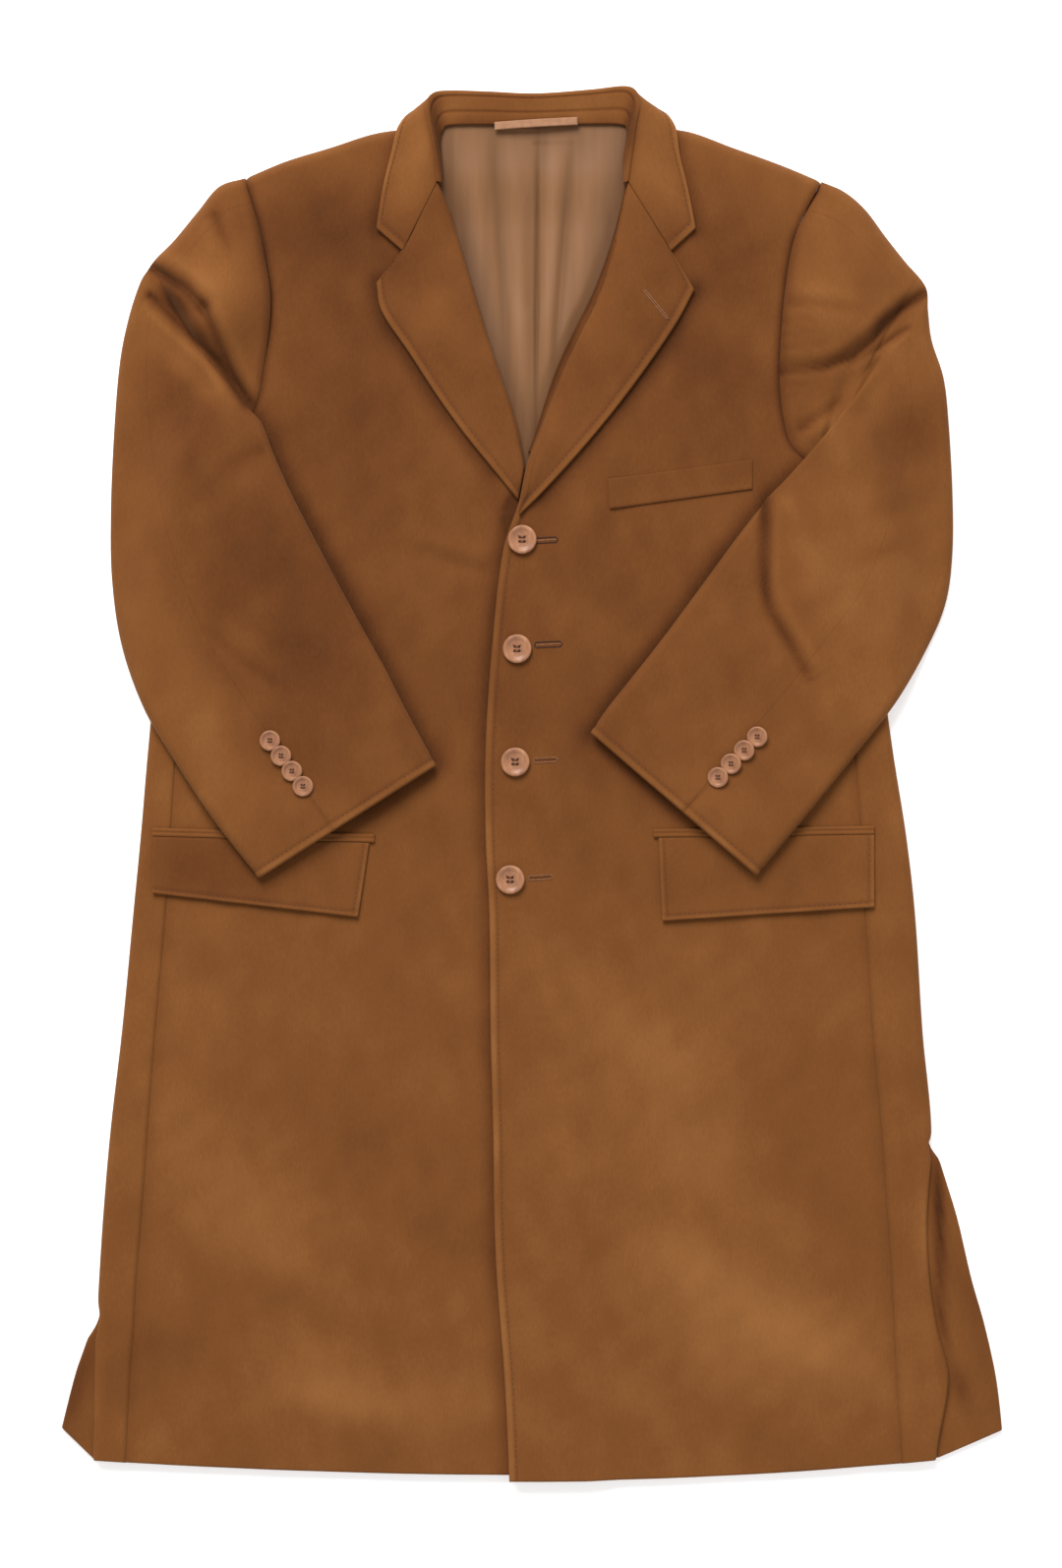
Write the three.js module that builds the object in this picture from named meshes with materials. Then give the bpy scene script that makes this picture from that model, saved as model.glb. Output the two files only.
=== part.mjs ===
// A single-breasted wool overcoat that lies flat on its back, buttoned, with both sleeves bent over
// its fronts. Millimetres: +X is the wearer's left, +Y runs from hem to collar, +Z is up, and z = 0 is
// the surface that the coat lies on. Every piece of cloth is a wall between two grids of points.
import * as THREE from "three";

const { lerp, clamp, smoothstep } = THREE.MathUtils;

// Cloth walls
const BACK_WALL = 3;
const LINING_WALL = 1;
const FRONT_WALL = 4;
const SIDE_WALL = 2.4;
const LAPEL_WALL = 3.6;
const COLLAR_WALL = 2.6;
const SLEEVE_WALL = 2.6;
const SLEEVE_HOLLOW = 2.4;
const FLAP_WALL = 2.6;
const SEAM_GAP = 0.3;

// Heights of the layers above the surface
const FRONT_TOP = 10;
const SIDE_TOP = 11.5;
const LINING_UNDER = 4.1;
const COLLAR_ROOM = { height: 3.4, fromY: 440, toY: 488, fromX: 112, toX: 156 };

// Sizes across the coat
const LAP = { width: 42, lift: 4.8, level: 58, fade: 34, fromY: 262, toY: 330 };
const LAP_NARROWS = 150;
const SIDE_PUFF_WIDTH = 55;
const FOLD_RADIUS = 7;
const HALF_HEM = 335;
const HEM = { right: { middle: -548.5, rise: 11 }, left: { middle: -553, rise: 18 },
  back: { middle: -547, rise: 12 } };
const SHOULDER_ROLL = 9;
const BACK_SHORTER = 8;
const PAD = { height: 4.5, level: 10, reach: 95 };
const HEM_SPREAD = 90;

// Buttons
const FRONT_BUTTON = { radius: 12, height: 3.6, sides: 16 };
const CUFF_BUTTON = { radius: 8.2, height: 2.2, sides: 12 };
const BUTTON_SHANK = 0.8;
const CUFF_BUTTON_TILT = THREE.MathUtils.degToRad(11.5);

// A table with named columns: each row becomes an object.
function table(columns, ...rows) {
  return rows.map((row) => Object.fromEntries(columns.map((name, i) => [name, row[i]])));
}

// A smooth curve through one column of a table, as a function of another column that rises.
function curveOf(rows, by, column) {
  const at = (i) => rows[clamp(i, 0, rows.length - 1)];
  return (q) => {
    const found = rows.findIndex((row) => row[by] > q);
    const i = clamp(found < 0 ? rows.length - 2 : found - 1, 0, rows.length - 2);
    const [a, b] = [rows[i], rows[i + 1]];
    const t = clamp((q - a[by]) / (b[by] - a[by]), 0, 1);
    const slope = (low, high) => (high === low ? 0 : (high[column] - low[column]) / (high[by] - low[by]));
    const span = b[by] - a[by];
    const [leave, arrive] = [slope(at(i - 1), b) * span, slope(a, at(i + 2)) * span];
    const [t2, t3] = [t * t, t * t * t];
    return (2 * t3 - 3 * t2 + 1) * a[column] + (t3 - 2 * t2 + t) * leave
      + (3 * t2 - 2 * t3) * b[column] + (t3 - t2) * arrive;
  };
}

// The body below the armholes. A fold is the coat's side as it lies, a flare is the edge of the cloth
// that spreads from under that fold near the hem, and a seam joins a front to its side panel.
const BODY = table(
  ["y", "rightFold", "rightFlare", "rightSeam", "edge", "leftSeam", "leftFold", "leftFlare"],
  [-560, -348, -378, -323, -17, 296, 320, 376],
  [-532, -347, -372, -321, -18, 294, 322, 374],
  [-471, -346, -362, -318, -21, 290, 331, 369],
  [-432, -345, -350, -315, -24, 288, 322, 361],
  [-393, -343, -343, -313, -27, 286, 316, 350],
  [-346, -340, -340, -309, -29, 283, 314, 339],
  [-276, -334, -334, -304, -30, 278, 318, 319],
  [-198, -325, -325, -298, -32, 271, 311, 311],
  [-104, -316, -316, -290, -33, 265, 305, 305],
  [-42, -310, -310, -286, -36, 262, 298, 298],
  [28, -304, -304, -281, -36, 256, 287, 287],
  [106, -296, -296, -273, -31, 248, 277, 277],
  [185, -286, -286, -263, -22, 240, 270, 270],
  [225, -277, -277, -255, -9, 236, 265, 265],
  [262, -266, -266, -246, 0, 232, 260, 260],
);

// Armhole seams, from the underarm up to the shoulder
const RIGHT_ARMHOLE = table(["y", "x"],
  [262, -266], [267, -248], [279, -229], [300, -218], [331, -212], [361, -207.5],
  [387, -206.5], [414, -210.5], [447, -217], [481, -227]);
const LEFT_ARMHOLE = table(["y", "x"],
  [243, 261], [249, 231], [266, 208], [290, 200], [319, 197], [352, 198],
  [395, 202], [430, 208], [454, 218], [478, 231]);

// The line where each lapel rolls back, which is also the edge of the opening at the neck
const RIGHT_ROLL = table(["y", "x"],
  [254, -5], [285, -11], [312, -20], [344, -31], [386, -44], [430, -57], [463, -68], [493, -78], [530, -82]);
const LEFT_ROLL = table(["y", "x"],
  [225, -9], [254, -3], [277, 6], [301, 15], [330, 26.5], [358, 40], [387, 54], [422, 65.5], [463, 74.5],
  [490, 78], [530, 84]);

// Shoulder seams, and the back's neckline between them
const TOP_LINE = table(["x", "y"],
  [-227, 481], [-195, 494.5], [-163, 504.5], [-123, 516.5], [-82, 520], [82, 520], [123, 518], [163, 504.5],
  [200, 491], [231, 478]);
const NECK_HALF = 82;
const NECK_DEPTH = 2;

// The back seams, hidden underneath, run straight from the hem to the underarm.
const BACK_SEAMS = table(["side", "hemX", "hemY", "topX", "topY"],
  ["right", -304, -540, -222, 262],
  ["left", 278, -540, 214, 243],
);

// Soft folds of the fronts, as ridges and troughs between two points
const BODY_FOLDS = table(["x0", "y0", "x1", "y1", "width", "height"],
  [-274, -249, -193, -387, 34, 2.6],
  [-193, -387, -120, -425, 30, 2.2],
  [-98, -206, -72, -237, 26, 1.6],
  [-190, -490, -60, -508, 26, 2.2],
  [-205, -300, -160, -350, 30, -1.2],
  [-170, -436, -140, -442, 24, -1.2],
  [78, -203, 124, -249, 34, 2.2],
  [118, -392, 232, -462, 32, 2.6],
  [150, -290, 196, -330, 36, -1.2],
  [150, -366, 190, -390, 30, 1.6],
  [50, -470, 90, -480, 30, -1],
  [-250, -130, -215, -185, 30, 1.6],
  [-120, 150, -60, 110, 34, 1.8],
  [40, 190, 110, 130, 34, 1.4],
  [-60, -20, -20, -110, 30, 1.2],
);

// Sleeves: each row is a line across the flattened tube, from its outer to its inner edge. bend is how
// far the line follows the armhole's curve, thick is the height of the two layers, crown is the extra
// height of the sleeve head, raised is how far the row lies on top of the body, and seam is where
// the hind-arm seam crosses the upper layer.
const SLEEVE_COLUMNS = ["outX", "outY", "inX", "inY", "bend", "thick", "crown", "raised", "seam"];
const RIGHT_SLEEVE = table(SLEEVE_COLUMNS,
  [-227, 481, -266, 262, 1, 10, 5, 0, 0.1],
  [-248, 474, -262, 268, 0.9, 10, 11, 0, 0.1],
  [-265, 454, -255, 272, 0.66, 10, 14, 0, 0.1],
  [-284, 431, -245, 277, 0.36, 10, 14, 0, 0.1],
  [-298, 417, -236, 282, 0.12, 9, 11, 0, 0.11],
  [-304.5, 408, -230, 286, 0.02, 7.6, 2, 0.95, 0.12],
  [-311, 397, -217, 289, 0, 8.6, 3, 1, 0.13],
  [-320, 369, -211, 280, 0, 9, 5, 1, 0.15],
  [-327, 333, -203, 259, 0, 9, 3, 1, 0.18],
  [-331.5, 278, -189, 228, 0, 9, 2, 1, 0.22],
  [-334, 216, -170, 191, 0, 9, 1.5, 1, 0.27],
  [-333, 161, -152, 157, 0, 9, 1, 1, 0.32],
  [-325, 110, -134, 124, 0, 9, 1, 1, 0.36],
  [-307, 61, -115, 90, 0, 9, 0.5, 1, 0.4],
  [-284, 21, -101, 62, 0, 9, 0, 1, 0.42],
  [-253, -26, -87, 36, 0, 8.6, 0, 1, 0.43],
  [-215, -75, -75, 14, 0, 8, 0, 1, 0.43],
);
const LEFT_SLEEVE = table(SLEEVE_COLUMNS,
  [231, 478, 261, 243, 1, 10, 5, 0, 0.1],
  [249, 470, 258, 249, 0.9, 10, 11, 0, 0.1],
  [265.5, 456, 252, 254, 0.66, 10, 14, 0, 0.1],
  [282, 434, 244, 258, 0.36, 10, 14, 0, 0.1],
  [297, 415, 236, 260, 0.12, 9, 10, 0, 0.11],
  [313.5, 395, 228, 258, 0.02, 7.6, 1, 0.95, 0.12],
  [315.5, 376, 203, 240, 0, 8.8, 4, 1, 0.13],
  [318.5, 352, 188, 227, 0, 9, 5, 1, 0.15],
  [328, 322, 183, 220, 0, 9, 5, 1, 0.18],
  [332, 286, 174, 209, 0, 9, 4, 1, 0.22],
  [335, 231, 158, 188, 0, 9, 3, 1, 0.27],
  [335, 184, 142, 166, 0, 9, 2.5, 1, 0.32],
  [330, 145, 125, 143, 0, 9, 2, 1, 0.36],
  [316, 110, 108, 120, 0, 9, 1, 1, 0.4],
  [290, 66, 91, 98, 0, 9, 0.5, 1, 0.42],
  [256, 22, 75, 78, 0, 9, 0, 1, 0.43],
  [222, -20, 60, 59, 0, 8.6, 0, 1, 0.44],
  [178, -73, 47, 40, 0, 8, 0, 1, 0.44],
);

// Ridges and troughs of the sleeves' upper layers
const SLEEVE_FOLDS = table(["x0", "y0", "x1", "y1", "width", "height"],
  [-300, 404, -224, 300, 9, -4],
  [-286, 396, -240, 330, 16, 2.5],
  [-300, 300, -190, 180, 30, 2],
  [-230, 90, -170, 40, 26, 1.6],
  [309, 386, 250, 335, 9, -4],
  [250, 335, 200, 331, 8, -3],
  [239, 300, 213, 285, 8, -2.5],
  [188, 222, 200, 150, 12, -3.5],
  [200, 150, 222, 76, 12, -3.5],
  [212, 215, 222, 150, 20, 3],
  [222, 150, 245, 90, 20, 2],
  [240, 290, 300, 240, 26, 2],
);

// Lapels: each row is a line from the roll to the outer edge.
const RIGHT_LAPEL = table(["rollX", "rollY", "edgeX", "edgeY"],
  [-6, 252, -15.5, 228],
  [-14, 293, -31, 250],
  [-26, 330, -52.5, 276.5],
  [-38, 366, -74.5, 307],
  [-49, 403, -96, 340],
  [-59, 437, -118, 373],
  [-62, 448, -122.5, 396.5],
  [-72.4, 475, -100.4, 420.2],
);
const LEFT_LAPEL = table(["rollX", "rollY", "edgeX", "edgeY"],
  [-9, 221, -10, 216],
  [-2, 257, 8, 224],
  [10, 288, 33.5, 250],
  [27, 331, 61, 287],
  [43, 364, 90.5, 328],
  [57, 397, 115.5, 365],
  [66, 428, 129.5, 391],
  [74.4, 475, 109.4, 420.2],
);

// The collar, from its right front end round the back of the neck to its left front end: the seam at
// the neckline, the crest of the fold, and the outer edge. turn is the way that the fold points:
// 0 into the neck, 90 up and 180 away from the neck.
const COLLAR = table(
  ["seamX", "seamY", "seamZ", "foldX", "foldY", "foldZ", "edgeX", "edgeY", "edgeZ", "turn"],
  [-68, 472, 9.6, -72, 476, 17.5, -102.5, 422.5, 13, 90],
  [-69.5, 483, 9.8, -74, 492.5, 18.5, -122.5, 439.5, 13, 90],
  [-71.5, 495, 10.2, -77, 508, 19.5, -118, 469, 13, 90],
  [-72, 504, 10.4, -80, 521.5, 20, -111, 498, 15.5, 90],
  [-72, 510, 10.6, -81.5, 534, 20, -105, 519.5, 14, 92],
  [-69, 514, 10.6, -77.5, 544, 16.5, -93, 530.5, 2.6, 120],
  [-62, 515, 10.6, -66, 547.5, 13, -79, 501, 1.6, 150],
  [-34, 514, 10.6, -35, 547, 11.8, -37, 496, 1.6, 172],
  [4, 513.5, 10.6, 4, 545.5, 11.6, 4, 495.5, 1.6, 180],
  [46, 514, 10.6, 47, 548.5, 11.8, 47, 496, 1.6, 172],
  [70, 515, 10.6, 73, 551, 13, 86, 501, 1.6, 150],
  [75, 514, 10.6, 82, 546.5, 16.5, 102, 531.5, 2.6, 120],
  [76, 510, 10.6, 84.5, 535, 20, 114, 520, 14, 92],
  [75, 504, 10.4, 82, 521.5, 20, 118, 497, 15.5, 90],
  [73.5, 495, 10.2, 80, 508, 19.5, 125, 468, 13, 90],
  [72, 483, 9.8, 77.5, 492.5, 18.5, 130.5, 439.5, 13, 90],
  [70.5, 472, 9.6, 74.5, 476, 17.5, 111.5, 422.5, 13, 90],
);
const NECK_CENTRE = new THREE.Vector2(2, 440);

// Flaps and the breast welt, by their corners. jet is the width of the sewn strip above a flap.
const PATCHES = table(["name", "x0", "y0", "x1", "y1", "x2", "y2", "x3", "y3", "wall", "jet"],
  ["flap_right", -300, -87, -137, -106, -128, -47, -300, -42, FLAP_WALL, 7],
  ["flap_left", 104, -109, 272, -98, 272, -40.5, 101, -43, FLAP_WALL, 6.5],
  ["welt_breast", 62, 217.5, 175.5, 233.5, 175.5, 257, 61, 241.5, 2, 0],
);
const JET_RISE = 0.9;

const FRONT_BUTTONS = table(["x", "y"], [-7, 193], [-11, 106.5], [-12.5, 17], [-16.5, -76]);
const RIGHT_CUFF_BUTTONS = table(["x", "y"], [-206, 34], [-197.3, 22], [-188.7, 10], [-180, -2]);
const LEFT_CUFF_BUTTONS = table(["x", "y"], [178.5, 37], [168.2, 26.3], [157.8, 15.7], [147.5, 5]);

// Materials
const wool = new THREE.MeshStandardMaterial({ color: 0x85532e, roughness: 0.95, metalness: 0 });
const liningCloth = new THREE.MeshStandardMaterial({ color: 0x8f674a, roughness: 0.6, metalness: 0 });
const tapeCloth = new THREE.MeshStandardMaterial({ color: 0xa27452, roughness: 0.8, metalness: 0 });
const horn = new THREE.MeshStandardMaterial({ color: 0xb07f5c, roughness: 0.4, metalness: 0 });

const body = Object.fromEntries(Object.keys(BODY[0]).map((name) => [name, curveOf(BODY, "y", name)]));
const rolls = { right: curveOf(RIGHT_ROLL, "y", "x"), left: curveOf(LEFT_ROLL, "y", "x") };
const topLine = curveOf(TOP_LINE, "x", "y");
const underarm = { right: RIGHT_ARMHOLE[0].y, left: LEFT_ARMHOLE[0].y };
const shoulderTip = { right: RIGHT_ARMHOLE.at(-1), left: LEFT_ARMHOLE.at(-1) };
const outward = { right: -1, left: 1 };

// Shares of the way down each armhole at which the body and the sleeves have points in common
const ARMHOLE_SHARES = [0, 0.012, 0.045, 0.1, 0.22, 0.35, 0.48, 0.61, 0.73, 0.83, 0.92, 0.972, 1];
const armholeY = (side, share) => lerp(shoulderTip[side].y, underarm[side], share);
const armholes = { right: armhole("right", RIGHT_ARMHOLE), left: armhole("left", LEFT_ARMHOLE) };

// An armhole as straight lengths between its common points
function armhole(side, rows) {
  const curve = curveOf(rows, "y", "x");
  const heights = ARMHOLE_SHARES.map((share) => armholeY(side, share));
  return (y) => {
    const i = clamp(heights.findIndex((height) => height <= y) - 1, 0, heights.length - 2);
    const t = clamp((y - heights[i]) / (heights[i + 1] - heights[i]), 0, 1);
    return lerp(curve(heights[i]), curve(heights[i + 1]), t);
  };
}

const hemLine = (part, x) => HEM[part].middle + HEM[part].rise * (x / HALF_HEM) ** 2;

// The height that a list of soft folds adds at a point
function foldsAt(folds, x, y) {
  let sum = 0;
  for (const { x0, y0, x1, y1, width, height } of folds) {
    const [dx, dy] = [x1 - x0, y1 - y0];
    const t = clamp(((x - x0) * dx + (y - y0) * dy) / (dx * dx + dy * dy), 0, 1);
    const away = Math.hypot(x - x0 - t * dx, y - y0 - t * dy) / width;
    sum += height * Math.exp(-away * away * 2);
  }
  return sum;
}

// How far a point lies inside the coat's side, at either side of the body
function insideSide(x, y) {
  return Math.min(x - body.rightFold(y), body.leftFold(y) - x);
}

// The room left for the collar where it passes under the back of the neck
function collarRoom(x, y) {
  const { height, fromY, toY, fromX, toX } = COLLAR_ROOM;
  return height * smoothstep(y, fromY, toY) * (1 - smoothstep(Math.abs(x - NECK_CENTRE.x), fromX, toX));
}

// The height of the outer face of the fronts. The left front is lifted where it laps over the right.
function frontTop(x, y, laps) {
  const side = 1 - smoothstep(insideSide(x, y), FOLD_RADIUS, SIDE_PUFF_WIDTH);
  const tip = shoulderTip[x < 0 ? "right" : "left"];
  const pad = PAD.height * (1 - smoothstep(Math.hypot(x - tip.x, y - tip.y), PAD.level, PAD.reach));
  let top = FRONT_TOP + (SIDE_TOP - FRONT_TOP) * (y < underarm.right ? side : 0);
  top += pad + foldsAt(BODY_FOLDS, x, y) + collarRoom(x, y);
  if (laps) {
    const past = x - body.edge(y);
    const fade = 1 - smoothstep(past, LAP.level, LAP.level + LAP.fade);
    top += LAP.lift * fade * (1 - smoothstep(y, LAP.fromY, LAP.toY));
  }
  return top;
}

// The two grids of a wall, joined along their borders into one closed mesh
function wallMesh(name, outer, inner, material) {
  const [rows, columns] = [outer.length, outer[0].length];
  const position = [...outer.flat(), ...inner.flat()].flatMap((p) => [p.x, p.y, p.z]);
  const index = [];
  const at = (layer, i, j) => layer * rows * columns + i * columns + j;
  const quad = (a, b, c, d) => index.push(a, b, c, a, c, d);
  const [bottom, last] = [rows - 1, columns - 1];
  for (let i = 0; i < bottom; i++) {
    for (let j = 0; j < last; j++) {
      quad(at(0, i, j), at(0, i, j + 1), at(0, i + 1, j + 1), at(0, i + 1, j));
      quad(at(1, i, j), at(1, i + 1, j), at(1, i + 1, j + 1), at(1, i, j + 1));
    }
    quad(at(0, i, 0), at(0, i + 1, 0), at(1, i + 1, 0), at(1, i, 0));
    quad(at(0, i + 1, last), at(0, i, last), at(1, i, last), at(1, i + 1, last));
  }
  for (let j = 0; j < last; j++) {
    quad(at(0, 0, j + 1), at(0, 0, j), at(1, 0, j), at(1, 0, j + 1));
    quad(at(0, bottom, j), at(0, bottom, j + 1), at(1, bottom, j + 1), at(1, bottom, j));
  }
  if (volumeOf(position, index) < 0) index.reverse();
  const geometry = new THREE.BufferGeometry();
  geometry.setAttribute("position", new THREE.Float32BufferAttribute(position, 3));
  geometry.setIndex(index);
  geometry.computeVertexNormals();
  const mesh = new THREE.Mesh(geometry, material);
  mesh.name = name;
  return mesh;
}

function volumeOf(position, index) {
  const corner = (k) => new THREE.Vector3().fromArray(position, 3 * index[k]);
  let sum = 0;
  for (let k = 0; k < index.length; k += 3) {
    sum += corner(k).dot(corner(k + 1).cross(corner(k + 2))) / 6;
  }
  return sum;
}

// A grid moved along its own normals, which follow the right hand from rows to columns.
function moved(grid, distance) {
  const [rows, columns] = [grid.length, grid[0].length];
  return grid.map((row, i) => row.map((point, j) => {
    const down = grid[Math.min(i + 1, rows - 1)][j].clone().sub(grid[Math.max(i - 1, 0)][j]);
    const along = row[Math.min(j + 1, columns - 1)].clone().sub(row[Math.max(j - 1, 0)]);
    return point.clone().addScaledVector(down.cross(along).normalize(), distance);
  }));
}

const lowered = (grid, distance) =>
  grid.map((row) => row.map((p) => new THREE.Vector3(p.x, p.y, p.z - distance)));

const steps = (count, from = 0, to = 1) =>
  Array.from({ length: count + 1 }, (_, i) => lerp(from, to, i / count));

// A flat pattern between two side lines, the hem and the top line, with the height given at each
// point. up lists the heights of each row's two ends.
function panel(part, across, up, lineA, lineB, height) {
  const foot = (u) => lerp(lineA(HEM[part].middle), lineB(HEM[part].middle), u);
  const [lowA, lowB] = [hemLine(part, foot(0)), hemLine(part, foot(1))];
  const share = (y, low, line) => (y - low) / (line.top.y - low);
  return up.map(([yA, yB]) => across.map((u) => {
    const v = lerp(share(yA, lowA, lineA), share(yB, lowB, lineB), u);
    const x = lerp(lineA(yA), lineB(yB), u);
    const y = lerp(hemLine(part, foot(u)), lineA.topLine(lerp(lineA.top.x, lineB.top.x, u)), v);
    return new THREE.Vector3(x, y, height(x, y, u));
  }));
}

// The heights of a side's rows: evenly up to the underarm, then at the armhole's shares
function rowHeights(side, foot, count, topY) {
  const hole = ARMHOLE_SHARES.map((share) => armholeY(side, share)).filter((y) => y < topY - 1);
  return [...steps(count, foot, underarm[side]).slice(0, -1), ...hole.reverse(), topY];
}

// The outer line of a front or of the back: a seam below, then the armhole
function outerLine(side, seam) {
  const away = outward[side];
  const hole = armholes[side];
  const from = seamTop(side, seam);
  const line = (y) => (y < from ? seam(y) : hole(y)) - away * SEAM_GAP / 2;
  line.top = { x: shoulderTip[side].x - away * SEAM_GAP / 2, y: shoulderTip[side].y };
  return line;
}

// The height at which a seam runs into the armhole
function seamTop(side, seam) {
  let y = underarm[side];
  while (outward[side] * (armholes[side](y) - seam(y)) > 0) y += 0.5;
  return y;
}

const ACROSS = {
  right: steps(9),
  left: [0, 0.12, 0.24, 0.36, 0.48, 0.6, 0.68, 0.73, 0.78, 0.84, 0.92, 1],
};
const FRONT_ROWS = 19;
const BACK_ROWS = 14;
const ROLL_FADE = { from: 6, to: 26 };

// A front's height, rolled down to the surface along the shoulder seam
function shoulderRoll(top, below, base) {
  const depth = clamp(below / SHOULDER_ROLL, 0, 1);
  return lerp(base, top, Math.sqrt(1 - (1 - depth) ** 2));
}

function front(side) {
  const outer = outerLine(side, body[side + "Seam"]);
  const hidden = (y) => body.edge(y) + LAP.width;
  const join = RIGHT_ROLL[0].y;
  const lines = {
    right: (y) => (y > join ? rolls.right(y)
      : lerp(hidden(y), rolls.right(join), smoothstep(y, LAP_NARROWS, join))),
    left: (y) => (y > LEFT_ROLL[0].y ? rolls.left(y) : body.edge(y)),
  };
  const inner = (y) => lines[side](y);
  const neck = outward[side] * NECK_HALF;
  inner.top = { x: neck, y: topLine(neck) };
  outer.topLine = topLine;
  const height = (x, y, u) => {
    const below = topLine(lerp(outer.top.x, neck, u)) - y;
    return shoulderRoll(frontTop(x, y, side === "left"), below, SEAM_GAP + collarRoom(x, y));
  };
  const feet = [outer, inner].map((line) => hemLine(side, line(HEM[side].middle)));
  const heights = rowHeights(side, feet[0], FRONT_ROWS, outer.top.y);
  const rows = heights.map((y) => {
    const v = (y - feet[0]) / (outer.top.y - feet[0]);
    return [y, lerp(feet[1], inner.top.y, v)];
  });
  const grid = panel(side, ACROSS[side], rows, outer, inner, height);
  return wallMesh("front_" + side, grid, underOf(grid, side), wool);
}

// The under face of a front: straight below, but square to the cloth where it rolls down.
function underOf(grid, side) {
  const square = moved(grid, side === "right" ? FRONT_WALL : -FRONT_WALL);
  return grid.map((row, i) => row.map((p, j) => {
    const rolled = 1 - smoothstep(grid.at(-1)[j].y - p.y, ROLL_FADE.from, ROLL_FADE.to);
    const floor = i === grid.length - 1 ? SEAM_GAP : BACK_WALL * (1 - rolled) + SEAM_GAP;
    const z = lerp(p.z - FRONT_WALL, square[i][j].z, rolled);
    const y = lerp(p.y, square[i][j].y, rolled);
    const next = grid[Math.max(i - 1, 0)][j];
    const x = p.x + (i === 0 ? 0 : (y - p.y) * (p.x - next.x) / (p.y - next.y));
    return new THREE.Vector3(x, y, Math.max(z, floor + collarRoom(p.x, p.y)));
  }));
}

const FLARE = { starts: 1, full: 8, tuck: 14, rise: { right: 0.9, left: 0.32 } };

// A side panel's section, from its seam with the front, round the fold and under to the back seam.
// With no flare it is one round fold. With a full flare it runs back under the fold and out again.
function sidePath(seam, fold, flare, backSeam, top) {
  const away = Math.sign(fold);
  const high = top - SIDE_WALL / 2;
  const low = SIDE_WALL / 2;
  const step = (high - low) / 3;
  const turn = step / 2;
  const centre = fold - away * FOLD_RADIUS;
  const ends = (x) => lerp(x, backSeam, 0.5);
  const round = steps(8).slice(1, -1).map((t) => [
    centre + away * (FOLD_RADIUS - SIDE_WALL / 2) * Math.sin(Math.PI * t),
    (high + low) / 2 + (high - low) / 2 * Math.cos(Math.PI * t),
  ]);
  const single = [[seam, high], [lerp(seam, centre, 0.5), high], [centre, high], ...round,
    [centre, low], [ends(centre), low], [backSeam, low]];
  const tuck = fold - away * FLARE.tuck;
  const [outA, outC] = [fold - away * SIDE_WALL / 2, flare - away * SIDE_WALL / 2];
  const folded = [[seam, high], [lerp(seam, outA, 0.5), high], [outA - away * turn, high],
    [outA, high - turn], [outA - away * turn, high - step], [tuck + away * turn, high - step],
    [tuck, high - step - turn], [tuck + away * turn, low + step], [outC - away * turn, low + step],
    [outC, low + turn], [outC - away * turn, low], [ends(outC), low], [backSeam, low]];
  const share = smoothstep(Math.abs(flare - fold), FLARE.starts, FLARE.full);
  return single.map(([x, z], i) => [lerp(x, folded[i][0], share), lerp(z, folded[i][1], share)]);
}
function sidePanel(side) {
  const away = outward[side];
  const [seam, fold, flare] = ["Seam", "Fold", "Flare"].map((part) => body[side + part]);
  const low = hemLine(side, seam(HEM[side].middle));
  const rows = [...steps(FRONT_ROWS, low, underarm[side]).slice(0, -1), underarm[side] - 1.5];
  const middle = rows.map((y) => {
    const top = frontTop(fold(y) - away * FOLD_RADIUS * 2, y, false);
    const seamHeight = frontTop(seam(y), y, false);
    const path = sidePath(seam(y) + away * SEAM_GAP / 2, fold(y), flare(y), backSeam(side, y), top);
    const nearHem = 1 - smoothstep(y, low, low + HEM_SPREAD);
    return path.map(([x, z], j) => {
      const beyond = Math.max(0, away * (x - fold(y)));
      const rise = hemLine(side, x) - low + beyond * FLARE.rise[side];
      return new THREE.Vector3(x, y + rise * nearHem, j === 0 ? seamHeight - SIDE_WALL / 2 : z);
    });
  });
  const half = SIDE_WALL / 2;
  return wallMesh("side_" + side, moved(middle, away * half), moved(middle, -away * half), wool);
}

function backSeam(side, y) {
  const { hemX, hemY, topX, topY } = BACK_SEAMS.find((row) => row.side === side);
  return lerp(hemX, topX, (y - hemY) / (topY - hemY));
}

function back() {
  const lines = ["right", "left"].map((side) => {
    const line = outerLine(side, (y) => backSeam(side, y) - outward[side] * SEAM_GAP);
    line.top = { x: line.top.x, y: line.top.y - BACK_SHORTER };
    return line;
  });
  lines[0].topLine = (x) => {
    const inNeck = 1 - smoothstep(Math.abs(x), NECK_HALF * 1.1, NECK_HALF * 1.5);
    return topLine(x) - BACK_SHORTER - NECK_DEPTH * inNeck;
  };
  const heights = ["right", "left"].map((side, n) =>
    rowHeights(side, hemLine("back", lines[n](HEM.back.middle)), BACK_ROWS, lines[n].top.y));
  const rows = heights[0].map((y, i) => [y, heights[1][i]]);
  const grid = panel("back", steps(14), rows, lines[0], lines[1], (x, y) => BACK_WALL + collarRoom(x, y));
  return wallMesh("back", grid, lowered(grid, BACK_WALL), wool);
}

const LINING = { bottom: 232, bend: 440, top: 511, margin: 9, narrow: 30, wide: 110, lift: 0.8 };
const LINING_FOLDS = table(["x", "width", "height"], [4, 9, 0.88], [-12, 21, 0.72]);

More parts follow.
